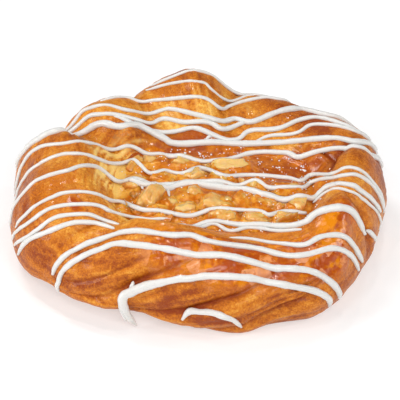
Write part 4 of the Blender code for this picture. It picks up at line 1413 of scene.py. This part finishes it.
@dataclass(frozen=True)
class Icing:
    """The strings of icing, draped on the ground that they lie on and made into strands by Geometry Nodes."""

    form: RingForm
    ground: Ground
    step: float = 0.45
    rise: float = 0.32
    sides: int = 10
    flatness: float = 0.86
    unevenness: float = 0.42
    lump: float = 4.2
    seed: int = 5
    # Where a string is dropped from and turns down the side, and how it spans gaps, over how many points.
    side_place: float = 2.82
    forward: float = 0.3
    drop_from: float = 100.0
    bridge_reach: int = 6
    bridge_dip: float = 0.35
    top_reach: int = 2
    side_reach: int = 3
    lean_reach: int = 3
    hang_lean: Place = (0.0, -1.0, 0.2)
    bend_reach: int = 7
    bend_spread: float = 1.6
    bend_least: float = 0.04
    # How a string thins towards its ends, over how many mm, and how its ends are rounded.
    tip: float = 0.6
    tip_length: float = 4.0
    end_length: float = 0.55
    end_least: float = 0.02
    points_least: int = 4
    pours: tuple[Pour, ...] = (
        Pour((1.1, 1.3, 1.2), ((-16.5, 40.5), (-9.7, 41.2), (-3.2, 42.6), (3.2, 43.4), (6.5, 43.2), (11.3, 42.6),
             (14.7, 41.6), (20, 41.5), (24.5, 41))),
        Pour((1.0, 1.1, 1.0), ((-17.8, 38.7), (-9.7, 38.5), (-1.6, 36.9), (1.6, 37), (3.9, 35.5), (8.1, 35.8),
             (14.6, 39.3), (17.8, 40))),
        Pour((1.2, 1.4, 1.3), ((-32, 30.3), (-24.1, 34.2), (-19.3, 33.4), (-12.9, 33.1), (-3.2, 31.5), (2.6, 31.1),
             (6.4, 30.3), (10.3, 34), (20.1, 37.6), (28.8, 37.6)),
             right=((54, 22),)),
        Pour((1.3, 1.4, 2.1, 2.0), ((-41.6, 24.9), (-38.4, 27.6), (-35, 27.1), (-29.3, 26.9), (-23.9, 25.9),
             (-17.6, 27), (-11.8, 28.9), (-9, 28.9), (-0.6, 25.6), (6.4, 25), (11.2, 27.6), (16, 25.8),
             (24.1, 29.3), (33.9, 32.3), (42.2, 28.3)),
             left=((148, 20),), right=((29, 20),)),
        Pour((1.4, 1.5, 1.8), ((-40.9, 23.5), (-35.9, 24.9), (-30.7, 23.2), (-21.6, 22.6), (-15.9, 22.9),
             (-11.8, 25.6), (-4.8, 23.9), (3.2, 23.6), (7, 22.2), (12.8, 25.3), (16, 26.3)),
             left=((152, 20),)),
        Pour((2.0, 2.3, 2.2, 2.1, 1.9, 1.9), ((-50.2, 13.6), (-43.6, 14.0), (-38.8, 19.6), (-34.9, 21.4),
             (-31, 21), (-26.2, 18.5), (-22.7, 18.8), (-19.9, 20.5), (-15.8, 19.8), (-11.1, 18.5), (-7.9, 17.4),
             (6.3, 17.7), (23.8, 18.4), (31.7, 17.6), (42.5, 15.0), (48.7, 13.8), (53, 16.4)),
             left=((163, 20), (162, 15)), right=((22, 20), (26, 14))),
        Pour((1.5, 1.6, 1.7), ((-27.5, 22.4), (-19, 20.2), (-12.7, 20.5), (-4.8, 21.9), (-1.6, 21.9), (3.8, 19.9),
             (8.9, 18.9), (12.7, 20), (15.9, 22.6), (25.5, 23.2), (31.9, 26.1), (38.3, 26.7), (47.6, 21.2),
             (52, 19)),
             right=((25, 21), (30, 14))),
        Pour((1.2, 1.4, 1.5), ((17.5, 18.8), (22.3, 20.9), (30.8, 20.9), (35.6, 23.5), (42.8, 21.7), (51, 18.5)),
             right=((28, 20), (33, 15))),
        Pour((1.2, 1.3), ((1.6, 17.7), (3.2, 19.7), (6.3, 19.7))),
        Pour((1.3, 1.4, 1.8, 1.7), ((-52.3, 11.2), (-43.4, 6.4), (-37.2, 7.5), (-32.1, 10.1), (-22.7, 14.1),
             (-16.7, 12.5), (-12.6, 12.7), (-7.8, 9.3), (3.1, 7.9), (15.8, 14.7), (26.8, 14.5), (30.8, 11.6),
             (36.1, 11.8), (42.9, 11.3), (51.6, 10)),
             left=((170, 21), (172, 13)), right=((17, 20), (21, 13))),
        Pour((1.3, 1.4, 1.5, 1.3), ((-49.5, 1.9), (-43, 0.6), (-36.9, 0.8), (-29.4, 2.9), (-21.9, 6.9),
             (-14.9, 0.3), (-10.3, 2.2), (-4.6, 0.1), (0.6, 4.2), (6.8, -0.8), (14, 2), (26.4, 2), (31.1, 0.6),
             (34.9, 4), (40.6, -2.6), (46, -2.7), (51.7, -3.6)),
             left=((177.5, 19), (180, 11)), right=((359.5, 18), (1, 11))),
        Pour((1.3, 1.5, 1.5, 1.3), ((-47.1, -8.6), (-41, -8.7), (-36.5, -5.9), (-30.7, -1.8), (-25.3, -3.6),
             (-21.5, -4.8), (-17.8, -4.9), (-9.2, -4.9), (1.5, -3.5), (10.8, -4.6), (17, -3.2), (21.6, -5.6),
             (30.8, -4.8), (35, -0.9), (43.3, -6.6), (49.6, -5.6)),
             left=((188.5, 20), (187, 11)), right=((359, 16), (0.5, 13))),
        Pour((2.3, 2.5, 2.2, 1.7, 1.7), ((-21.8, -4.6), (-18.4, -6.6), (-10.7, -6.9), (-1.5, -4.5), (14.5, -7.6),
             (19.5, -10.4), (26, -11.6), (33.7, -10.8), (38.3, -8), (44, -11), (50.3, -11)),
             right=((355.2, 15.6),)),
        Pour((2.0, 1.6, 0.9), ((-10.0, -6.9), (-9.7, -9.0), (-9.3, -11.0))),
        Pour((2.0, 1.7, 1.2), ((-14.6, -6.6), (-14.2, -8.2), (-13.8, -9.6))),
        Pour((1.8, 1.5, 1.2), ((-18.2, -6.2), (-17.6, -7.8), (-17.2, -8.8))),
        Pour((1.0, 1.1), ((34.2, -12.1), (38.1, -10.3), (43.3, -12.6), (48.6, -13.5)),
             right=((354.9, 12.7), (353.8, 9.4))),
        Pour((1.1, 1.5, 1.5), ((-49.7, -18.4), (-43.6, -17.6), (-37.5, -17.4), (-31.6, -17), (-27.8, -15.9),
             (-23.7, -14.1), (-16.6, -19.3), (-4.5, -20.7), (4.5, -18.4), (17.5, -18.8), (20.5, -20.3),
             (25.8, -17.7), (32.5, -17.2)),
             left=((196.6, 18),)),
        Pour((1.1, 1.5, 1.0), ((-51.2, -21.6), (-44.9, -21.2), (-37.3, -22.2), (-29.9, -21.7), (-26.9, -22.4),
             (-21.1, -21), (-14.8, -22.2), (-8.4, -22.8)),
             left=((193, 11.2),)),
        Pour((1.1, 1.4, 1.3), ((-50.5, -24.7), (-44.2, -24.3), (-37.2, -25.2), (-31.3, -25), (-27.6, -26),
             (-23.7, -28.9)),
             left=((196.6, 11.8),)),
        Pour((1.3, 1.7, 1.5), ((-44.8, -26.8), (-37.1, -27.2), (-31.2, -27.1), (-25.1, -30.7)),
             left=((205.5, 19.4), (200.5, 10.9))),
        Pour((1.2, 1.5, 2.1, 2.7, 2.0), ((-7.4, -29), (1.5, -24), (11, -24.2), (21, -24.1), (30.8, -25),
             (34.5, -22.9), (40.4, -21.8), (45.8, -20.8), (50.1, -20.2))),
        Pour((1.1, 1.3, 1.2), ((-2.9, -29.6), (3.6, -24.2), (8.9, -27.1), (15, -24.9), (23.9, -26.5),
             (30.6, -27.5))),
        Pour((0.8, 1.6, 1.9, 1.9), ((8.3, -31.8), (14.8, -30.8), (22.2, -32.3), (30.4, -33.8), (35.6, -31),
             (41.7, -28.6), (46.9, -26.8)),
             right=((334.6, 10.2),)),
        Pour((1.7, 1.9, 1.8), ((-40, -33.5), (-34, -33.7), (-25.9, -33.3), (-20.6, -33.5), (-8.8, -35.4),
             (-2.9, -34.9), (2.9, -36.2), (16.2, -35.7), (26.5, -37.2), (33.9, -35.3), (40, -32.1)),
             left=((217.2, 12.9),), right=((327.2, 16.4), (331.2, 9.3))),
        Pour((1.6, 2.1, 2.1, 2.0), ((-36, -36.1), (-29.4, -36.4), (-23.5, -36.6), (-11.7, -38.7), (-2.9, -40.1),
             (10.2, -40.6), (23.5, -40.7), (34.9, -38.9)),
             left=((221.2, 15.7), (219.2, 7.6)), right=((316.6, 12.1), (320, 5.8))),
    )
    side_pours: tuple[SidePour, ...] = (
        SidePour((1.0, 2.2, 3.0, 3.3, 2.6, 2.1, 2.1, 2.1, 2.2, 2.2, 2.2, 2.2, 2.1, 2.0), ((245.3, 14.8),
                 (249, 16.8), (253.9, 18.6), (264.6, 21.2), (275, 21.8), (286.3, 21), (295.3, 18.6), (304.7, 15.6),
                 (310.7, 12.3), (314.5, 8), (315.5, 4.3)),
                 hang=((-18.9, -42.6, 0.9), (-19.8, -43.6, 3.2), (-21.2, -44.6, 6.4), (-22.2, -45.2, 9.6),
                 (-22.8, -45.3, 12.4), (-22.2, -45.0, 14.6))),
        SidePour((1.2, 1.6, 1.9, 1.9, 1.6), ((245.2, 14.9), (246.6, 16.2)),
                 hang=((-21.9, -43.5, 3.4), (-22.4, -44.4, 6.6), (-23.1, -45.1, 9.8), (-23.3, -45.4, 12.4),
                 (-22.7, -45.1, 14.4))),
        SidePour((2.2, 2.0, 1.1), ((244.9, 14.8), (246.2, 19.0))),
        SidePour((1.3, 2.0, 2.2, 2.0, 1.6, 1.0), ((263.2, 6.2), (265.6, 10.5), (269.8, 11.4), (274.6, 11.4),
                 (280.6, 9.6), (284.8, 3.2))),
        SidePour((1.5, 1.9), ((341, 18), (342.8, 16.4), (346, 12), (350, 8.5))),
    )

    def on_side(self, bearing: float, z: float) -> Footing:
        """The point and the normal of the dough's side at a bearing and a height.

        Args:
            bearing: The bearing, in degrees.
            z: The height.

        Returns:
            The point and the normal.
        """
        crest, height, bulge, lift = self.form.ring_at(np.array([bearing]))[0]
        middle = self.form.bulge_height
        if z >= middle:
            reach = crest + (bulge - crest) * math.sin(math.acos(min(1.0, (z - middle) / (height - middle))))
        else:
            share = min(1.0, (middle - z) / (middle - lift))
            reach = bulge - self.form.base_inset * (1 - math.cos(math.asin(share)))
        turn = math.radians(bearing)
        return self.ground.nearest(np.array((reach * math.cos(turn), reach * math.sin(turn), z)))

    def run_down(self, point: np.ndarray, way: Way) -> list[Footing]:
        """A string's run from a point on top down the side, through bearings and heights.

        Args:
            point: The point on top.
            way: The bearings and the heights that it leads through.

        Returns:
            Rows of a point and a normal.
        """
        bearing = math.degrees(math.atan2(point[1], point[0]))
        ends = tuple((bearing + (turn - bearing + 180) % 360 - 180, z) for turn, z in way)
        marks = smooth_way(((bearing, float(point[2])),) + ends, self.step)[1:]
        return [self.on_side(turn, z) for turn, z in marks]

    def drape(self, pour: Pour) -> list[Footing]:
        """The line of a string on what lies under it.

        Args:
            pour: The string.

        Returns:
            Rows of a point and a normal.
        """
        rows = []
        for x, y in smooth_way(pour.way, self.step):
            edge = self.form.surface(np.array([np.degrees(np.arctan2(y, x))]), [self.side_place])[0, 0]
            if math.hypot(x, y) <= math.hypot(edge[0], edge[1]):
                rows.append(self.ground.below(np.array((x, y - self.forward, self.drop_from))))
        heights = np.array([place[2] for place, _ in rows])
        bridged = np.maximum(evened(heights, self.bridge_reach), heights - self.bridge_dip)
        for (place, _), z in zip(rows, evened(bridged, self.top_reach)):
            place[2] = z
        left = self.run_down(rows[0][0], pour.left)[::-1] if pour.left else []
        right = self.run_down(rows[-1][0], pour.right) if pour.right else []
        rows = left + rows + right
        bends = ([len(left)] if left else []) + ([len(rows) - len(right)] if right else [])
        return self.rounded(rows, bends)

    def rounded(self, rows: list[Footing], bends: list[int]) -> list[Footing]:
        """Rounds a string's bends where it leaves the top, and lays it back on the dough there.

        Args:
            rows: The rows of a point and a normal.
            bends: The numbers of the rows at which the bends are.

        Returns:
            The rounded rows.
        """
        places = np.array([place for place, _ in rows])
        soft = evened(evened(places, self.bend_reach), self.bend_reach)
        for bend in bends:
            off = (np.arange(len(rows)) - bend) / (self.bend_spread * self.bend_reach)
            share = np.exp(-(off**2))[:, None]
            places = places + share * (soft - places)
            for k in np.flatnonzero(share > self.bend_least):
                rows[k] = self.ground.nearest(places[k])
        return rows

    def laid(self, pour: SidePour) -> list[Footing]:
        """The line of a string along the side, with the part of it that hangs clear of the dough.

        Args:
            pour: The string.

        Returns:
            Rows of a point and a normal.
        """
        rows = [self.on_side(bearing, z) for bearing, z in smooth_way(pour.way, self.step)]
        soft = evened(evened(np.array([place for place, _ in rows]), self.side_reach), self.side_reach)
        rows = [(place, normal) for place, (_, normal) in zip(soft, rows)]
        if pour.hang:
            way = smooth_way(pour.hang + (tuple(soft[0]),), self.step)[:-1]
            rows = [(point, np.array(self.hang_lean)) for point in way] + rows
        return rows

    def strand(self, rows: list[Footing], widths: tuple[float, ...]) -> tuple[np.ndarray, ...]:
        """A strand's middle line, at even steps and with rounded ends.

        Args:
            rows: The rows of a point and a normal on what it lies on.
            widths: The widths along it.

        Returns:
            The points, the normals and the widths.
        """
        places = np.array([place for place, _ in rows])
        normals = evened(np.array([normal for _, normal in rows]), self.lean_reach)
        normals /= np.linalg.norm(normals, axis=1)[:, None]
        length = np.concatenate(([0.0], np.cumsum(np.linalg.norm(np.diff(places, axis=0), axis=1))))
        marks = np.linspace(0, length[-1], max(self.points_least, round(length[-1] / self.step)))
        places = np.column_stack([np.interp(marks, length, places[:, k]) for k in range(3)])
        normals = np.column_stack([np.interp(marks, length, normals[:, k]) for k in range(3)])
        width = np.interp(marks / length[-1], np.linspace(0, 1, len(widths)), widths)
        to_end = np.minimum(marks, length[-1] - marks)
        width = width * (self.tip + (1 - self.tip) * eased(to_end, 0.0, self.tip_length))
        near_end = np.clip(to_end / (self.end_length * width), self.end_least, 1)
        width = width * np.sqrt(1 - (1 - near_end) ** 2)
        places = evened(places, 1) + normals * (width / 2 * self.rise)[:, None]
        return places, normals, width

    def lines_mesh(self) -> Mesh:
        """The middle lines of all the strands, as a mesh of edges.

        Returns:
            The mesh, which carries each point's width and the way that it leans.
        """
        strands = [self.strand(self.drape(pour), pour.widths) for pour in self.pours]
        strands += [self.strand(self.laid(pour), pour.widths) for pour in self.side_pours]
        edges, base = [], 0
        for places, _, _ in strands:
            edges += [(k, k + 1) for k in range(base, base + len(places) - 1)]
            base += len(places)
        points, leans, widths = (np.concatenate(part) for part in zip(*strands))
        painted = {"width": widths * MM, "lean": leans}
        return mesh_of("icing_lines", points, [], painted, self.form.middle, edges)

    def mesh(self) -> Mesh:
        """Shapes all the strings, with their finish on them."""
        return StrandGrowth().grow(self.lines_mesh(), {
            "Sides": self.sides, "Flatness": self.flatness, "Unevenness": self.unevenness,
            "Lump": self.lump * MM, "Seed": float(self.seed), "Finish": WhiteIcing().material()})


class Growth(Graph):
    """A Geometry Nodes tree with named inputs, which grows a mesh from another one."""

    def __init__(self, name: str, inputs: dict[str, str]) -> None:
        """Makes a tree with a geometry input and output.

        Args:
            name: The tree's name.
            inputs: The other inputs' names and kinds.
        """
        super().__init__(bpy.data.node_groups.new(name, "GeometryNodeTree"))
        self.tree.interface.new_socket("Geometry", in_out="INPUT", socket_type="NodeSocketGeometry")
        self.tree.interface.new_socket("Geometry", in_out="OUTPUT", socket_type="NodeSocketGeometry")
        self.known = {}
        for title, kind in inputs.items():
            socket = self.tree.interface.new_socket(title, in_out="INPUT", socket_type=f"NodeSocket{kind}")
            self.known[title] = socket.identifier
        self.given = self.node("NodeGroupInput").outputs

    def value(self, title: str) -> Value:
        """A numeric input as a value."""
        return Value(self, self.given[title])

    def named(self, title: str, kind: str) -> NodeSocket:
        """The attribute of a name."""
        return self.node("GeometryNodeInputNamedAttribute", {"data_type": kind}, {"Name": title}).outputs[0]

    def vectors(self, operation: str, *terms: object) -> Node:
        """A Vector Math node on terms."""
        return self.node("ShaderNodeVectorMath", {"operation": operation}, dict(enumerate(terms)))

    def end(self, geometry: NodeSocket, material: str) -> None:
        """Ends the tree in Realize Instances and Set Material, with the material of a named input."""
        whole = self.node("GeometryNodeRealizeInstances", {}, {0: geometry}).outputs[0]
        smooth = self.node("GeometryNodeSetShadeSmooth", {}, {0: whole}).outputs[0]
        dressed = self.node("GeometryNodeSetMaterial", {}, {"Geometry": smooth, "Material": self.given[material]})
        self.node("NodeGroupOutput", {}, {0: dressed.outputs[0]})

    def grow(self, mesh: Mesh, values: dict[str, object]) -> Mesh:
        """Grows a plain mesh.

        Args:
            mesh: The mesh to grow from.
            values: What the named inputs are.

        Returns:
            The grown mesh.
        """
        seedling = bpy.data.objects.new("seedling", mesh)
        bpy.context.scene.collection.objects.link(seedling)
        modifier = seedling.modifiers.new("growth", "NODES")
        modifier.node_group = self.tree
        for title, value in values.items():
            modifier[self.known[title]] = value
        bpy.context.view_layer.update()
        depsgraph = bpy.context.evaluated_depsgraph_get()
        grown = bpy.data.meshes.new_from_object(seedling.evaluated_get(depsgraph), depsgraph=depsgraph)
        seedling.modifiers.clear()
        bpy.data.objects.remove(seedling)
        return grown


class StrandGrowth(Growth):
    """Makes lines into uneven strands, a little flattened against what they lie on."""

    lump_detail: float = 2.5
    thinnest: float = 0.00005

    def __init__(self) -> None:
        """Builds the tree."""
        super().__init__("strands", {"Sides": "Int", "Flatness": "Float", "Unevenness": "Float",
                                     "Lump": "Float", "Seed": "Float", "Finish": "Material"})
        position = self.node("GeometryNodeInputPosition").outputs[0]
        stored = self.node("GeometryNodeStoreNamedAttribute", {"data_type": "FLOAT_VECTOR", "domain": "POINT"},
                           {"Geometry": self.given["Geometry"], "Name": "centre", "Value": position}).outputs[0]
        curve = self.node("GeometryNodeMeshToCurve", {}, {0: stored}).outputs[0]
        scale = (1.0 / self.value("Lump")).socket
        noise = self.node("ShaderNodeTexNoise", {"noise_dimensions": "4D"},
                          {"Vector": position, "W": self.given["Seed"], "Scale": scale,
                           "Detail": self.lump_detail}).outputs[0]
        width = Value(self, self.named("width", "FLOAT"))
        radius = width * 0.5 * (1 + (Value(self, noise) - 0.5) * 2.0 * self.value("Unevenness"))
        circle = self.node("GeometryNodeCurvePrimitiveCircle", {}, {"Resolution": self.given["Sides"],
                                                                   "Radius": 1.0}).outputs[0]
        tube = self.node("GeometryNodeCurveToMesh", {}, {"Curve": curve, "Profile Curve": circle,
                                                         "Scale": radius, "Fill Caps": True}).outputs[0]
        lean = self.named("lean", "FLOAT_VECTOR")
        away = self.vectors("SUBTRACT", position, self.named("centre", "FLOAT_VECTOR")).outputs[0]
        above = Value(self, self.vectors("DOT_PRODUCT", away, lean).outputs["Value"])
        pressed = self.node("ShaderNodeVectorMath", {"operation": "SCALE"},
                            {0: lean, "Scale": above * (self.value("Flatness") - 1)}).outputs[0]
        foot = above * -1.0 / width.larger(self.thinnest)
        marked = self.node("GeometryNodeStoreNamedAttribute", {"data_type": "FLOAT", "domain": "POINT"},
                           {"Geometry": tube, "Name": "foot", "Value": foot + 0.5}).outputs[0]
        flat = self.node("GeometryNodeSetPosition", {}, {"Geometry": marked, "Offset": pressed}).outputs[0]
        self.end(flat, "Finish")


class ScatterGrowth(Growth):
    """Scatters a small shape over a surface where the surface's mark is strong."""

    least_share: float = 0.4
    widest_turn: Place = (0.3, 0.3, 6.28)

    def __init__(self) -> None:
        """Builds the tree."""
        super().__init__("scatter", {"Shape": "Object", "Mark": "String", "Spacing": "Float", "Density": "Float",
                                     "Smallest": "Float", "Largest": "Float", "Seed": "Int",
                                     "Finish": "Material"})
        mark = self.node("GeometryNodeInputNamedAttribute", {"data_type": "FLOAT"},
                         {"Name": self.given["Mark"]}).outputs[0]
        spread = self.node("GeometryNodeDistributePointsOnFaces", {"distribute_method": "POISSON"},
                           {"Mesh": self.given["Geometry"], "Distance Min": self.given["Spacing"],
                            "Density Max": self.given["Density"], "Density Factor": mark,
                            "Seed": self.given["Seed"]})
        shape = self.node("GeometryNodeObjectInfo", {}, {"Object": self.given["Shape"]}).outputs["Geometry"]
        size = self.node("FunctionNodeRandomValue", {"data_type": "FLOAT"},
                         {2: self.given["Smallest"], 3: self.given["Largest"], "Seed": self.given["Seed"]})
        scale = Value(self, size.outputs[1]) * (Value(self, mark) + self.least_share)
        turn = self.node("FunctionNodeRandomValue", {"data_type": "FLOAT_VECTOR"},
                         {0: (0, 0, 0), 1: self.widest_turn, "Seed": self.given["Seed"]}).outputs[0]
        placed = self.node("GeometryNodeInstanceOnPoints", {},
                           {"Points": spread.outputs["Points"], "Instance": shape,
                            "Rotation": spread.outputs["Rotation"], "Scale": scale}).outputs[0]
        turned = self.node("GeometryNodeRotateInstances", {}, {"Instances": placed, "Rotation": turn}).outputs[0]
        self.end(turned, "Finish")


@dataclass(frozen=True)
class Bubbles:
    """Small flattened bubbles, scattered over the jelly where it is bubbly, painted pale as a stand-in for glints.
    Their sizes are shares.
    """

    radius: float = 1.0
    flatness: float = 0.7
    smallest: float = 0.05
    largest: float = 0.4
    spacing: float = 0.45
    most_per_square_metre: float = 1600000.0
    seed: int = 3

    def bubble(self) -> Object:
        """Shapes one bubble of the full size.

        Returns:
            The bubble.
        """
        bm = bmesh.new()
        bmesh.ops.create_icosphere(bm, subdivisions=1, radius=self.radius * MM)
        bmesh.ops.scale(bm, vec=(1, 1, self.flatness), verts=bm.verts)
        mesh = bpy.data.meshes.new("bubble_shape")
        bm.to_mesh(mesh)
        bm.free()
        bubble = bpy.data.objects.new("bubble_shape", mesh)
        bpy.context.scene.collection.objects.link(bubble)
        return bubble

    def mesh(self, jelly: Mesh) -> Mesh:
        """Shapes all the bubbles on the jelly, with their finish on them."""
        bubble = self.bubble()
        grown = ScatterGrowth().grow(jelly, {
            "Shape": bubble, "Mark": "bubbly", "Spacing": self.spacing * MM,
            "Density": self.most_per_square_metre, "Smallest": self.smallest, "Largest": self.largest,
            "Seed": self.seed, "Finish": GlintFroth().material()})
        bpy.data.objects.remove(bubble)
        return grown


@dataclass(frozen=True)
class Softbox:
    """A soft light that faces the danish: where it hangs, its width and height in metres, and its watts."""

    name: str
    place: Place
    size: Pair
    power: float
    aim: Place = (0.0, 0.0, 0.02)

    def hang(self) -> None:
        """Hangs the light."""
        light = bpy.data.lights.new(self.name, "AREA")
        light.shape = "RECTANGLE"
        light.size, light.size_y = self.size
        light.energy = self.power
        hung = bpy.data.objects.new(self.name, light)
        hung.location = self.place
        hung.rotation_mode = "QUATERNION"
        hung.rotation_quaternion = (Vector(self.aim) - Vector(self.place)).to_track_quat("-Z", "Y")
        bpy.context.scene.collection.objects.link(hung)


@dataclass(frozen=True)
class Studio:
    """The plain pale floor, the soft light and the camera at the photograph's angle."""

    form: RingForm
    floor_size: float = 3.0
    floor_cuts: int = 4
    floor_colour: Colour = ink(205, 205, 205)
    floor_shade: Colour = ink(200, 200, 200)
    floor_glow: float = 0.68
    elevation: float = 35.0
    distance: float = 0.6
    lens: float = 173.0
    target_height: float = 16.9
    sky: float = 0.14
    softboxes: tuple[Softbox, ...] = (
        Softbox("key", (-0.25, 0.25, 0.8), (0.2, 0.2), 1.7),
        Softbox("front", (0.12, -0.66, 0.5), (0.5, 0.36), 3.6),
        Softbox("left", (-0.75, -0.25, 0.3), (0.3, 0.3), 3.5),
        Softbox("right", (0.75, -0.1, 0.4), (0.2, 0.3), 1.6),
    )
    lamp_power: float = 0.31
    lamp_size: Pair = (0.025, 0.025)
    lamps: tuple[Place, ...] = (
        (-0.22, -0.34, 0.6), (0.3, -0.24, 0.62), (0.1, 0.36, 0.55), (0.02, -0.1, 0.7), (-0.3, 0.2, 0.6),
    )

    def floor(self) -> None:
        """Lays the floor."""
        kit = Finish("pale_floor")
        shade = kit.noise(3, 2)
        paint = kit.closed({"Base Color": kit.mixed(shade * 0.04, self.floor_colour, self.floor_shade),
                            "Roughness": 0.9, "Specular IOR Level": 0.1,
                            "Emission Color": self.floor_colour, "Emission Strength": self.floor_glow})
        bm = bmesh.new()
        bmesh.ops.create_grid(bm, x_segments=self.floor_cuts, y_segments=self.floor_cuts, size=self.floor_size / 2)
        mesh = bpy.data.meshes.new("floor")
        bm.to_mesh(mesh)
        bm.free()
        floor = bpy.data.objects.new("floor", mesh)
        bpy.context.scene.collection.objects.link(floor)
        mesh.materials.append(paint)

    def light(self) -> None:
        """Lights the studio."""
        world = bpy.data.worlds.new("studio")
        bpy.context.scene.world = world
        world.use_nodes = True
        world.node_tree.nodes["Background"].inputs["Color"].default_value = (1.0, 1.0, 1.0, 1.0)
        world.node_tree.nodes["Background"].inputs["Strength"].default_value = self.sky
        lamps = (Softbox(f"lamp_{number}", place, self.lamp_size, self.lamp_power)
                 for number, place in enumerate(self.lamps))
        for box in (*self.softboxes, *lamps):
            box.hang()

    def camera(self) -> None:
        """Sets the camera."""
        data = bpy.data.cameras.new("camera")
        data.lens = self.lens
        camera = bpy.data.objects.new("camera", data)
        bpy.context.scene.collection.objects.link(camera)
        angle = math.radians(self.elevation)
        back = Vector((0, -math.cos(angle), math.sin(angle)))
        target = Vector((-self.form.middle[0], -self.form.middle[1], self.target_height)) * MM
        camera.location = target + back * self.distance
        camera.rotation_mode = "QUATERNION"
        camera.rotation_quaternion = (-back).to_track_quat("-Z", "Y")
        bpy.context.scene.camera = camera
        bpy.context.scene.view_settings.view_transform = "Standard"

    def build(self) -> None:
        """Builds the studio."""
        self.floor()
        self.light()
        self.camera()


def main() -> None:
    """Builds the danish and its studio, piece by piece."""
    logging.basicConfig(level=logging.INFO, format="%(name)s: %(message)s")
    form = RingForm()
    crust = Dough(form).mesh()
    apple = Apple(form)
    jelly, dice = Jelly(form, Ground(form, crust), apple.dice).mesh(), apple.mesh()
    strings = Icing(form, Ground(form, crust, jelly, dice)).mesh()
    bubbles = Bubbles().mesh(jelly)
    piece_of("crust", crust, BakedCrust().material(), "crust", "pastry")
    piece_of("jelly", jelly, AmberJelly().material(), "apple_filling", "apple_filling")
    piece_of("jelly_bubbles", bubbles, bubbles.materials[0], "apple_filling", "apple_filling")
    piece_of("apple_dice", dice, CookedApple().material(), "apple_filling", "apple_filling")
    piece_of("icing_strings", strings, strings.materials[0], "icing", "pastry", "apple_filling")
    Studio(form).build()


if __name__ == "__main__":
    main()
